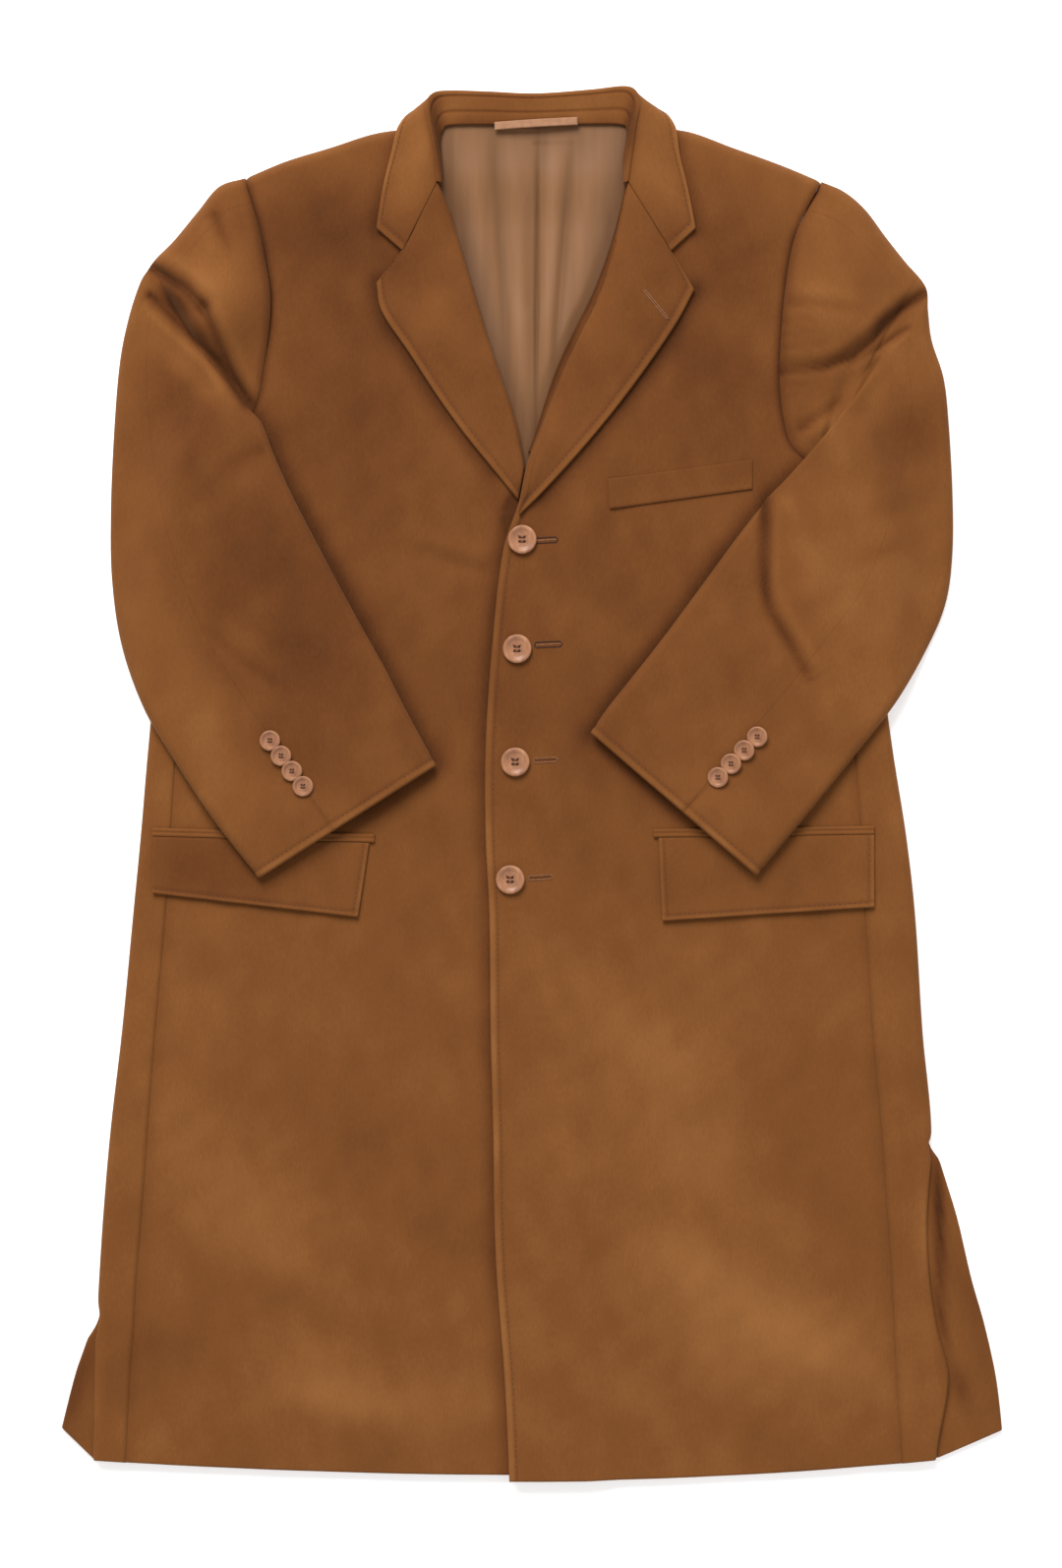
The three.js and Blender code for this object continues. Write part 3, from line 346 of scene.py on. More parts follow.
# The collar, from its right front end round the back of the neck to its left front end: the seam at
# the neckline, the crest of the fold, and the outer edge. turn is the way that the fold points: 0 into
# the neck, 90 up and 180 away from the neck. The second row from each end is the leaf's tip.
COLLAR = table(
    "seam_x seam_y seam_z fold_x fold_y fold_z edge_x edge_y edge_z turn",
    (-72.6, 473.6, 13.4, -72.8, 475.8, 16.9, -101.9, 421.8, 13, 90),
    (-70.8, 484, 10.4, -74.4, 492.5, 18.3, -122.5, 439.5, 13, 90),
    (-71.5, 495, 10.2, -77, 508, 19.5, -118, 469, 13, 90),
    (-72, 504, 10.4, -80, 521.5, 20, -111, 498, 15.5, 90),
    (-72, 510, 10.6, -81.5, 534, 20, -105, 519.5, 14, 92),
    (-70, 517, 10.6, -77.5, 544, 16.5, -93, 530.5, 2.6, 120),
    (-64, 521.5, 10.6, -66, 547.5, 13, -79, 501, 1.6, 150),
    (-34, 522, 10.6, -35, 547, 11.8, -37, 496, 1.6, 172),
    (4, 522, 10.6, 4, 545.5, 11.6, 4, 495.5, 1.6, 180),
    (46, 522.5, 10.6, 47, 548.5, 11.8, 47, 496, 1.6, 172),
    (71, 522, 10.6, 73, 551, 13, 86, 501, 1.6, 150),
    (76, 517.5, 10.6, 82, 546.5, 16.5, 102, 531.5, 2.6, 120),
    (76, 510, 10.6, 84.5, 535, 20, 114, 520, 14, 92),
    (75, 504, 10.4, 82, 521.5, 20, 118, 497, 15.5, 90),
    (73.5, 495, 10.2, 80, 508, 19.5, 125, 468, 13, 90),
    (73.6, 484, 10.4, 77.9, 492.5, 18.3, 130.5, 439.5, 13, 90),
    (75.2, 473.6, 13.4, 75.4, 475.8, 16.9, 111.1, 421.8, 13, 90),
)

# Flaps and the breast welt, by their corners. shade is how much lighter the piece is painted about shade_x.
PATCHES = table(
    "name x0 y0 x1 y1 x2 y2 x3 y3 wall shade_x shade",
    ("flap_right", -300, -87, -137, -106, -128, -47, -300, -42, FLAP_WALL, -240, -0.15),
    ("flap_left", 104, -109, 272, -98, 272, -40.5, 101, -43, FLAP_WALL, 180, -0.03),
    ("welt_breast", 62, 217.5, 175.5, 233.5, 175.5, 257, 61, 241.5, 1, 120, 0),
)

FRONT_BUTTONS = table("x y", (-7, 193), (-11, 106.5), (-12.5, 17), (-16.5, -76))
CUFF_BUTTONS = {
    "right": table("x y", (-206, 34), (-197.3, 22), (-188.7, 10), (-180, -2)),
    "left": table("x y", (178.5, 37), (168.2, 26.3), (157.8, 15.7), (147.5, 5)),
}

body = {name: curve_of(BODY, "y", name) for name in BODY[0]}
rolls = {side: curve_of(rows, "y", "x") for side, rows in ROLLS.items()}
armholes = {side: curve_of(rows, "y", "x") for side, rows in ARMHOLES.items()}
top_line = curve_of(TOP_LINE, "x", "y")
underarm = {side: rows[0]["y"] for side, rows in ARMHOLES.items()}
shoulder_tip = {side: rows[-1] for side, rows in ARMHOLES.items()}


def hem_line(part, x):
    return HEM[part]["middle"] + HEM[part]["rise"] * (x / HALF_HEM) ** 2


def folds_at(folds, x, y):
    """The height that a list of soft folds adds at each point."""
    total = np.zeros(np.broadcast(x, y).shape)
    for f in folds:
        dx, dy = f["x1"] - f["x0"], f["y1"] - f["y0"]
        t = np.clip(((x - f["x0"]) * dx + (y - f["y0"]) * dy) / (dx * dx + dy * dy), 0, 1)
        away = np.hypot(x - f["x0"] - t * dx, y - f["y0"] - t * dy) / f["width"]
        total = total + f["height"] * np.exp(-away * away * 2)
    return total


def along_line(line, x, y):
    """How far each point is from a line of points, how far along the line, and on which side of it."""
    shape = np.broadcast(x, y).shape
    line = np.array(line, float)
    spans = np.diff(line, axis=0)
    lengths = np.hypot(spans[:, 0], spans[:, 1])
    nearest, share, side = np.full(shape, np.inf), np.zeros(shape), np.zeros(shape)
    for spot, span, length, before in zip(line, spans, lengths, np.cumsum(lengths) - lengths):
        t = np.clip(((x - spot[0]) * span[0] + (y - spot[1]) * span[1]) / length ** 2, 0, 1)
        dx, dy = x - spot[0] - t * span[0], y - spot[1] - t * span[1]
        away = np.hypot(dx, dy)
        closer = away < nearest
        nearest = np.where(closer, away, nearest)
        share = np.where(closer, (before + t * length) / lengths.sum(), share)
        side = np.where(closer, np.sign(span[0] * dy - span[1] * dx), side)
    return nearest, share, side


# A crease's own slope, and how far out its ridge is, as a share of its width
CREASE = {"power": 1.5, "sharp": 1.4, "ridge_at": 2.2}


def creases_at(creases, x, y):
    """The height that a list of creases adds at each point, which is below 0 within them."""
    total = np.zeros(np.broadcast(x, y).shape)
    for c in creases:
        away, share, side = along_line(c["line"], x, y)
        away = away / c["width"]
        depth = lerp(c["start"], c["end"], share)
        total = total - depth * np.exp(-away ** CREASE["power"] * CREASE["sharp"])
        beside = np.exp(-((away - CREASE["ridge_at"]) ** 2)) * (side * np.sign(c["ridge"]) > 0)
        total = total + abs(c["ridge"]) * beside * np.sqrt(share * (1 - share)) * 2
    return total


# The waves that a swell is made of: how many, and their lengths as shares of its size
WAVES = {"count": 14, "shortest": 0.7, "longest": 1.8, "level": 1.6}


def undulation(x, y, size, seed):
    """A gentle, uneven swell about as long as size, from -1 to 1."""
    random = np.random.default_rng(seed)
    total = np.zeros(np.broadcast(x, y).shape)
    for _ in range(WAVES["count"]):
        turn, phase = random.uniform(0, 2 * math.pi, 2)
        length = size * random.uniform(WAVES["shortest"], WAVES["longest"])
        total = total + np.sin((x * math.cos(turn) + y * math.sin(turn)) * 2 * math.pi / length + phase)
    return total / WAVES["count"] ** 0.5 / WAVES["level"]


# Swells of the cloth where it lies loose: size is their length, height how far they rise and fall.
SWELLS = table("size height seed", (150, 0.75, 3), (64, 0.38, 8), (26, 0.1, 5))


def swells_at(x, y):
    return sum(s["height"] * undulation(x, y, s["size"], s["seed"]) for s in SWELLS)


def inside_side(x, y):
    """How far a point lies inside the coat's side, at either side of the body."""
    return np.minimum(x - body["right_fold"](y), body["left_fold"](y) - x)


def collar_room(x, y):
    """The room left for the collar where it passes under the back of the neck."""
    room = COLLAR_ROOM
    beside = smoothstep(np.abs(x - NECK_CENTRE[0]), room["from_x"], room["to_x"])
    return room["height"] * smoothstep(y, room["from_y"], room["to_y"]) * (1 - beside)


def pad_at(x, y):
    """The shoulder pads' height."""
    heights = [
        1 - smoothstep(np.hypot(x - tip["x"], y - tip["y"]), PAD["level"], PAD["reach"])
        for tip in shoulder_tip.values()
    ]
    return PAD["height"] * np.maximum(*heights)


def front_top(x, y, laps):
    """The height of the fronts' outer face. The left front is lifted where it laps over the right."""
    side = 1 - smoothstep(inside_side(x, y), FOLD_RADIUS, SIDE_PUFF_WIDTH)
    top = FRONT_TOP + (SIDE_TOP - FRONT_TOP) * np.where(y < underarm["right"], side, 0)
    top = top + pad_at(x, y) + folds_at(BODY_FOLDS, x, y) + collar_room(x, y) + swells_at(x, y)
    if laps:
        past = x - body["edge"](y)
        fade = 1 - smoothstep(past, LAP["level"], LAP["level"] + LAP["fade"])
        top = top + LAP["lift"] * fade * (1 - smoothstep(y, LAP["from_y"], LAP["to_y"]))
    return top


# Grids of points

# Distances from an edge at which a grid has points, closer together than the rest
EDGE_STEPS = np.array([0, 0.12, 0.45, 1, 1.7, 2.5, 3.4, 4.4, 5.2, 6, 6.8, 7.8, 9.4])
SEAM_STEPS = np.array([0, 0.2, 0.6, 1.2, 2.2, 4])
ROUND_STEPS = 1 - np.cos(np.linspace(0, math.pi / 2, 9))


def shares(start, end, width, step, near_start, near_end):
    """Shares of a width for every row, from start to end: given distances near both ends, and even
    steps between them."""
    start, end, width = (np.reshape(value, (-1, 1)) for value in np.broadcast_arrays(start, end, width))
    first = start + near_start / width
    last = end - near_end[::-1] / width
    count = max(2, int(round(np.mean((last[:, 0] - first[:, -1]) * width[:, 0]) / step)))
    middle = lerp(first[:, -1:], last[:, :1], np.linspace(0, 1, count + 1)[1:-1])
    return np.concatenate([first, middle, last], axis=1)


def points(x, y, z):
    return np.stack(np.broadcast_arrays(x, y, z), axis=-1).astype(float)


def lowered(grid, distance):
    return grid - [0, 0, distance]


def moved(grid, distance):
    """A grid moved along its own normals, which follow the right hand from rows to columns."""
    down = np.gradient(grid, axis=0)
    along = np.gradient(grid, axis=1)
    normal = np.cross(down, along)
    normal = normal / np.maximum(np.linalg.norm(normal, axis=2, keepdims=True), 1e-9)
    return grid + normal * distance


def borders(start, end, bottom, top):
    """What a wall's borders are: start and end are its first and last column, bottom and top its rows."""
    return {"start": start, "end": end, "bottom": bottom, "top": top}


# The rows of a table are ROWS_BETWEEN points apart, and closer together just before the last.
ROWS_BETWEEN = 14
LAST_STRETCH = {"from": 0.3, "close": 0.26, "points": 14}


def row_numbers(last):
    """Numbers from a table's first row to its last, with the points between them."""
    even = np.linspace(0, last - LAST_STRETCH["from"], ROWS_BETWEEN * last)
    return np.concatenate([even, last - np.linspace(LAST_STRETCH["close"], 0, LAST_STRETCH["points"])])


def smooth_rows(rows, n, corners=(), cornered=""):
    """Every column of a table at row numbers n. Those whose names start with cornered turn sharply at
    the rows named as corners."""
    numbered = [{**row, "n": k} for k, row in enumerate(rows)]
    return {
        name: curve_of(numbered, "n", name, corners if name.startswith(cornered) else ())(n)
        for name in rows[0]
    }


def border_distances(grid):
    """How far each point is, along the cloth, from the grid's four borders."""
    found = {}
    for axis, (first, last) in enumerate((("bottom", "top"), ("start", "end"))):
        lengths = np.linalg.norm(np.diff(grid, axis=axis), axis=2)
        pad = ((1, 0), (0, 0)) if axis == 0 else ((0, 0), (1, 0))
        found[first] = np.pad(np.cumsum(lengths, axis=axis), pad)
        found[last] = np.take(found[first], [-1], axis=axis) - found[first]
    return found


# A turned edge is round, with a row of stitches beside it, and swells between the two. Along the
# edge its tone is painted paler, unevenly: a painted highlight where the swell catches the light.
STITCH = {"width": 1.5, "depth": 0.42, "swell": 0.25, "end_room": 0.3, "turned_end_room": 0.9}
EDGE_HIGHLIGHT = {"size": 46, "least": 0.75, "gain": 0.4, "seed": 31}
TURNED = {
    "turned": {"from_edge": 6.4, "tone": 0.19, "width": 4.4, "fades": 3.6},
    "narrow": {"from_edge": 4.2, "tone": 0.13, "width": 2.4, "fades": 2.2},
}

# The most that a wall's two faces may each give up of its thickness
THICKEST_DROP = 0.47

# Towards a seam the cloth curves down over a width to a depth.
SEAMS = {
    "seam": {"width": 1.6, "depth": 0.7},
    "flat": {"width": 1.2, "depth": 0.1},
    "side": {"width": 6, "depth": 0.3},
    "armhole": {"width": 6, "depth": 1.3},
    "gorge": {"width": 3, "depth": 0.12},
}

# Painted shade: how much darker the tone is for each mm that a seam or stitch line is sunk
SUNK_SHADE_A_MM = 0.14


def finish_edges(outer, inner, edges):
    """Rounds a wall's borders. edges says of each border whether it is turned, plain, or a kind of
    seam. Also gives the painted highlight along turned edges and painted shade in sunk seams and stitches."""
    across = outer - inner
    thick = np.linalg.norm(across, axis=2)
    direction = across / np.maximum(thick, 1e-6)[..., None]
    distance = border_distances(outer)
    top_drop, under_drop, pale, dark = (np.zeros(thick.shape) for _ in range(4))
    for border, kind in edges.items():
        d = distance[border]
        seam = kind if isinstance(kind, dict) else SEAMS.get(kind)
        if seam:
            drop = seam["depth"] * (1 - np.clip(d / seam["width"], 0, 1)) ** 2
            top_drop = np.maximum(top_drop, drop)
            dark = np.maximum(dark, drop)
            continue
        radius = thick / 2
        drop = radius * (1 - np.sqrt(1 - (1 - np.clip(d / radius, 0, 1)) ** 2))
        top_drop = np.maximum(top_drop, drop)
        under_drop = np.maximum(under_drop, drop)
        if kind in TURNED:
            hem = TURNED[kind]
            groove = STITCH["depth"] * np.exp(-((d - hem["from_edge"]) / STITCH["width"]) ** 2)
            swell = STITCH["swell"] * np.sin(math.pi * np.clip(d / hem["from_edge"], 0, 1))
            top_drop = top_drop + groove - swell
            dark = dark + groove
            near = hem["width"] - hem["fades"] / 2
            pale = np.maximum(pale, hem["tone"] * (1 - smoothstep(d, near, near + hem["fades"])))
    most = (thick * THICKEST_DROP)[..., None]
    outer = outer - direction * np.minimum(top_drop[..., None], most)
    inner = inner + direction * np.minimum(under_drop[..., None], most)
    uneven = undulation(outer[..., 0], outer[..., 1], EDGE_HIGHLIGHT["size"], EDGE_HIGHLIGHT["seed"])
    return outer, inner, pale * (EDGE_HIGHLIGHT["least"] + EDGE_HIGHLIGHT["gain"] * uneven) - dark * SUNK_SHADE_A_MM


# Patches where the tone is lighter or darker: partly the nap as it was last brushed or pressed, partly
# painted shade in creases, folds and beside edges and painted light on ridges. angle is in degrees.
NAP_AND_SHADE = table(
    "x y length width angle tone",
    (0, 150, 330, 230, 90, -0.2),
    (-140, 330, 150, 80, 80, -0.23),
    (150, 320, 130, 80, 90, -0.2),
    (0, 440, 90, 120, 90, -0.06),
    (-275, 290, 80, 40, 100, -0.26),
    (-215, 150, 150, 80, 110, -0.27),
    (-218, 129, 60, 26, 60, 0.1),
    (-250, 97, 34, 12, -50, -0.12),
    (-255, 36, 60, 30, -60, 0.14),
    (-169, 92, 50, 36, -60, -0.1),
    (300, 275, 60, 40, 60, -0.3),
    (187, 203, 30, 5.5, 92, -0.26),
    (186, 160, 26, 5.5, 88, -0.24),
    (200, 118, 26, 6, -58, -0.22),
    (217, 87, 20, 6, -60, -0.16),
    (203, 220, 16, 9, -60, 0.14),
    (222, 178, 26, 14, -50, 0.12),
    (272, 300, 22, 10, 60, 0.1),
    (240, 276, 40, 14, -60, 0.12),
    (281, 218, 24, 12, 30, -0.1),
    (276, 183, 26, 9, 20, -0.12),
    (161, 85, 50, 30, -40, -0.08),
    (270, 150, 130, 60, 100, 0.1),
    (-262, -64, 60, 34, 0, -0.1),
    (180, -72, 90, 36, 0, -0.06),
    (-230, -330, 130, 60, -60, 0.12),
    (-180, -440, 150, 55, -25, 0.04),
    (-285, -445, 110, 38, 20, -0.16),
    (-158, -488, 70, 24, -8, 0.12),
    (-360, -470, 60, 12, 72, -0.24),
    (-343, -470, 50, 5, 88, 0.12),
    (324, -345, 66, 6, 92, -0.6),
    (326, -425, 40, 6, -84, -0.32),
    (341, -478, 26, 8, -70, -0.22),
    (354, -420, 90, 16, -72, -0.16),
    (311, -350, 60, 5, 90, 0.12),
    (-110, -300, 120, 60, -50, -0.1),
    (110, -250, 140, 60, -48, 0.14),
    (180, -430, 150, 50, -30, 0.24),
    (230, -300, 140, 60, -60, -0.06),
    (60, -470, 110, 50, -20, 0.04),
    (-60, -500, 120, 40, -10, 0.04),
    (-250, 395, 40, 26, 60, 0.2),
    (-281, 381, 20, 10, -42, -0.55),
    (-262, 357, 20, 8, -52, -0.4),
    (-245, 332, 22, 7, -58, -0.26),
    (-230, 307, 18, 6, -60, -0.2),
    (-128, 382, 36, 22, -60, 0.12),
    (258, 350, 36, 6, 38, -0.24),
    (280, 366, 16, 7, 42, -0.3),
    (-73.5, 510, 44, 8, 98, -0.55),
    (79, 518, 36, 7, 84, -0.45),
    (-272, 326, 50, 12, -42, 0.18),
    (228, 380, 60, 40, 90, 0.1),
    (165, 430, 80, 70, 0, -0.16),
    (-150, 440, 110, 70, 0, -0.24),
    (-17.5, 217, 17, 5.5, 72, -0.46),
    (-96, 480, 60, 26, 62, 0.24),
    (100, 480, 60, 26, 118, 0.16),
    (-75, 380, 80, 30, 55, 0.1),
)


NAP_LEVEL = 0.5
NAP_AND_SHADE_SHARPNESS = 1.6
NAP_SWELLS = table("size tone seed", (90, 0.05, 21), (34, 0.03, 22))


def nap_and_shade_at(x, y):
    """How light the tone is at each point, from 0 to 1: the nap with painted shade and painted light."""
    total = np.full(np.broadcast(x, y).shape, NAP_LEVEL)
    for p in NAP_AND_SHADE:
        turn = math.radians(p["angle"])
        along = (x - p["x"]) * math.cos(turn) + (y - p["y"]) * math.sin(turn)
        beside = (y - p["y"]) * math.cos(turn) - (x - p["x"]) * math.sin(turn)
        reach = (along / p["length"]) ** 2 + (beside / p["width"]) ** 2
        total = total + p["tone"] * np.exp(-reach * NAP_AND_SHADE_SHARPNESS)
    for s in NAP_SWELLS:
        total = total + s["tone"] * undulation(x, y, s["size"], s["seed"])
    return total


def shadows_at(bands, x, y):
    """Painted shadow: how much darker the tone is in soft bands along lines beside edges above and along
    seams.
    """
    total = np.zeros(np.broadcast(x, y).shape)
    for line, width, tone in bands:
        away = along_line(line, x, y)[0] / width
        total = np.minimum(total, -tone * np.exp(-away * away))
    return total


def edge_of(rows, x, y):
    return [(row[x], row[y]) for row in rows]


# The width of each painted shadow band and how much darker it is
SHADOW_BANDS = {
    "lapel": (9, 0.3),
    "collar": (8, 0.22),
    "sleeve": (9, 0.3),
    "cuff": (8, 0.24),
    "armhole": (4.6, 0.18),
    "sleeve_head": (4.6, 0.17),
    "side_seam": (7, 0.07),
    "other_front": (8, 0.26),
    "roll": (12, 0.26),
    "yoke": (1.2, 0.16),
}

# The rows of a sleeve that lie on its head, and how far up the left front's edge is followed
HEAD_ROWS = 5
OTHER_FRONT_TO = 230


def shadow_bands_on(side):
    """The painted shadow bands on a front: beside its lapel, the collar, its sleeve and cuff, along its
    seams and, on the right, beside the other front."""
    sleeve_rows = SLEEVES[side][HEAD_ROWS:]
    cuff = sleeve_rows[-1]
    leaf = COLLAR[1:5] if side == "right" else COLLAR[-5:-1]
    lines = {
        "lapel": edge_of(LAPELS[side][1:-1], "edge_x", "edge_y"),
        "collar": edge_of(leaf, "edge_x", "edge_y"),
        "sleeve": edge_of(sleeve_rows, "in_x", "in_y"),
        "cuff": [(cuff["in_x"], cuff["in_y"]), (cuff["out_x"], cuff["out_y"])],
        "armhole": edge_of(ARMHOLES[side], "x", "y"),
        "side_seam": edge_of(BODY[:-1], f"{side}_seam", "y"),
    }
    if side == "right":
        lines["other_front"] = edge_of([row for row in BODY if row["y"] < OTHER_FRONT_TO], "edge", "y")
    return [(line, *SHADOW_BANDS[name]) for name, line in lines.items()]


# Meshes

pieces = {}


def placed(name, data):
    """A new object of the scene."""
    made = bpy.data.objects.new(name, data)
    bpy.context.scene.collection.objects.link(made)
    return made


def ridden(piece):
    """Makes a piece ride with the coat."""
    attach(piece, "root")
    pieces[piece.name] = piece
    return piece


def new_object(name, vertices, faces, materials, slot):
    """A smooth mesh, made from millimetres."""
    mesh = bpy.data.meshes.new(name)
    mesh.from_pydata((np.asarray(vertices) * MM).tolist(), [], faces)
    mesh.polygons.foreach_set("use_smooth", [True] * len(mesh.polygons))
    mesh.validate()
    mesh.update()
    for material in materials:
        mesh.materials.append(material)
    return ridden(placed(name, mesh))


def wall_faces(rows, columns):
    """The quads of two grids joined along their borders."""
    number = np.arange(2 * rows * columns).reshape(2, rows, columns)
    top, under = number
    quads = [
        np.stack([top[:-1, :-1], top[:-1, 1:], top[1:, 1:], top[1:, :-1]], axis=-1),
        np.stack([under[:-1, :-1], under[1:, :-1], under[1:, 1:], under[:-1, 1:]], axis=-1),
        np.stack([top[:-1, 0], top[1:, 0], under[1:, 0], under[:-1, 0]], axis=-1),
        np.stack([top[1:, -1], top[:-1, -1], under[:-1, -1], under[1:, -1]], axis=-1),
        np.stack([top[0, 1:], top[0, :-1], under[0, :-1], under[0, 1:]], axis=-1),
        np.stack([top[-1, :-1], top[-1, 1:], under[-1, 1:], under[-1, :-1]], axis=-1),
    ]
    return np.concatenate([q.reshape(-1, 4) for q in quads])


def volume_of(vertices, quads):
    """The volume within quads, which is below 0 where they face inwards."""
    a, b, c, d = (vertices[quads[:, k]] for k in range(4))
    return (np.einsum("ij,ij->i", a, np.cross(b, c)) + np.einsum("ij,ij->i", a, np.cross(c, d))).sum() / 6


stitch_lines = {}


def stitch_line(outer, distance, border, edges):
    """The line of a turned border's stitches, which stops short of the borders at its ends."""
    if border in ("start", "end"):
        beside, ends = outer, ("bottom", "top")
        d, before, after = (distance[one] for one in (border, *ends))
    else:
        beside, ends = np.swapaxes(outer, 0, 1), ("start", "end")
        d, before, after = (distance[one].T for one in (border, *ends))
    line = []
    from_edge = TURNED[edges[border]]["from_edge"]
    needed = [
        from_edge * (STITCH["turned_end_room"] if edges[one] in TURNED else STITCH["end_room"])
        for one in ends
    ]
    for spots, away, first, last in zip(beside, d, before, after):
        order = np.argsort(away)
        room = [np.interp(from_edge, away[order], one[order]) for one in (first, last)]
        if room[0] > needed[0] and room[1] > needed[1]:
            line.append([np.interp(from_edge, away[order], spots[order, k]) for k in range(3)])
    return np.array(line)


def cloth(
    name, outer, inner, edges, node=None, slot="wool", materials=None, turned_in=0, shade=0, nap_and_shade=nap_and_shade_at
):
    """A closed shell of cloth between two grids. Its inner face may show a second cloth, up to the rows
    that are turned in. shade is painted shade and light: how much lighter the outer face is than its tone."""
    distance = border_distances(outer)
    outer, inner, pale = finish_edges(outer, inner, edges)
    pale = pale + shade
    for border, kind in edges.items():
        if isinstance(kind, str) and kind in TURNED:
            stitch_lines[f"{name}_{border}"] = stitch_line(outer, distance, border, edges)
    rows, columns = outer.shape[:2]
    vertices = np.concatenate([outer.reshape(-1, 3), inner.reshape(-1, 3)])
    vertices[:, 2] = np.maximum(vertices[:, 2], 0)
    quads = wall_faces(rows, columns)
    if volume_of(vertices, quads) < 0:
        quads = quads[:, ::-1]
    piece = new_object(name, vertices, quads.tolist(), materials or [wool], slot)
    tone = np.clip(nap_and_shade(vertices[:, 0], vertices[:, 1]) + np.tile(pale.ravel(), 2), 0, 1)
    piece.data.attributes.new("nap_and_shade", "FLOAT", "POINT").data.foreach_set("value", tone)
    if len(piece.data.materials) > 1:
        size = (rows - 1) * (columns - 1)
        inside = np.zeros(len(quads), int)
        inside[size : 2 * size].reshape(rows - 1, columns - 1)[: rows - 1 - turned_in] = 1
        piece.data.polygons.foreach_set("material_index", inside)
    if node:
        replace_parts(piece, node)
    return piece


ABOVE_ALL = 0.2


def tree_of(mesh):
    return BVHTree.FromPolygons([v.co for v in mesh.vertices], [p.vertices for p in mesh.polygons])


def height_over(*names):
    """The height of the highest of some pieces at points, or a given height beside them. reach is how
    far round each point the highest spot is looked for."""
    trees = [tree_of(pieces[name].data) for name in names]
    down = Vector((0, 0, -1))

    def at(x, y, beside=None, reach=0):
        x, y = np.broadcast_arrays(np.asarray(x, float), np.asarray(y, float))
        heights = np.full(x.shape, np.nan)
        offsets = [(0, 0)] if not reach else [(0, 0), (reach, 0), (-reach, 0), (0, reach), (0, -reach)]
        for index in np.ndindex(x.shape):
            found = []
            for dx, dy in offsets:
                start = Vector(((x[index] + dx) * MM, (y[index] + dy) * MM, ABOVE_ALL))
                hits = [tree.ray_cast(start, down)[0] for tree in trees]
                found += [hit.z / MM for hit in hits if hit is not None]
            if found:
                heights[index] = max(found)
        return heights if beside is None else np.where(np.isnan(heights), beside, heights)

    return at


# Materials


def set_inputs(node, values):
    for key, value in values.items():
        node.inputs[key].default_value = value


def node_of(tree, kind, inputs=None, **settings):
    """A shader node with its settings and the values of its inputs."""
    node = tree.nodes.new(kind)
    for key, value in settings.items():
        setattr(node, key, value)
    set_inputs(node, inputs or {})
    return node


def new_material(name):
    material = bpy.data.materials.new(name)
    material.use_nodes = True
    tree = material.node_tree
    shader = tree.nodes["Principled BSDF"]
    place = node_of(tree, "ShaderNodeTexCoord").outputs["Object"]
    return material, tree, shader, place


def linear(red, green, blue):
    """A colour as it looks on screen, from 0 to 255, as light."""
    parts = (value / 255 for value in (red, green, blue))
    return (*[p / 12.92 if p <= 0.04045 else ((p + 0.055) / 1.055) ** 2.4 for p in parts], 1)


def noise(tree, place, scale, stretch=(1, 1, 1), detail=2, roughness=0.5, turn=0):
    mapping = node_of(tree, "ShaderNodeMapping", {"Scale": stretch, "Rotation": (0, 0, turn)})
    texture = node_of(
        tree, "ShaderNodeTexNoise", {"Scale": scale, "Detail": detail, "Roughness": roughness}
    )
    tree.links.new(place, mapping.inputs["Vector"])
    tree.links.new(mapping.outputs["Vector"], texture.inputs["Vector"])
    return texture.outputs["Fac"]


def maths(tree, operation, a, b):
    """A sum or product of two values, each a socket or a number."""
    node = node_of(tree, "ShaderNodeMath", operation=operation)
    for n, value in enumerate((a, b)):
        if isinstance(value, (int, float)):
            node.inputs[n].default_value = value
        else:
            tree.links.new(value, node.inputs[n])
    return node.outputs["Value"]


def shifted(tree, tone, marks, by):
    """A tone that marks make lighter and darker."""
    shift = maths(tree, "MULTIPLY", maths(tree, "SUBTRACT", marks, 0.5), by)
    return maths(tree, "ADD", tone, shift)


def ramp(tree, value, *stops):
    """A colour ramp through (position, colour) stops."""
    node = node_of(tree, "ShaderNodeValToRGB")
    elements = node.color_ramp.elements
    while len(elements) < len(stops):
        elements.new(0.5)
    for element, (position, colour) in zip(elements, stops):
        element.position = position
        element.color = colour
    tree.links.new(value, node.inputs["Fac"])
    return node.outputs["Color"]


def bump(tree, shader, height, strength, distance):
    node = node_of(tree, "ShaderNodeBump", {"Strength": strength, "Distance": distance * MM})
    tree.links.new(height, node.inputs["Height"])
    tree.links.new(node.outputs["Normal"], shader.inputs["Normal"])


# The wool's marks: how many to a metre, how much they move the tone, and which way they run
FIBRE = {"scale": 620, "tone": 0.16, "stretch": (1, 0.35, 1), "turn": 0}
BRUSHING = {"scale": 46, "tone": 0.15, "stretch": (1, 0.5, 1), "turn": 0.2}
CLOUDS = {"scale": 9, "tone": 0.2, "stretch": (1, 0.6, 1), "turn": 0.6}


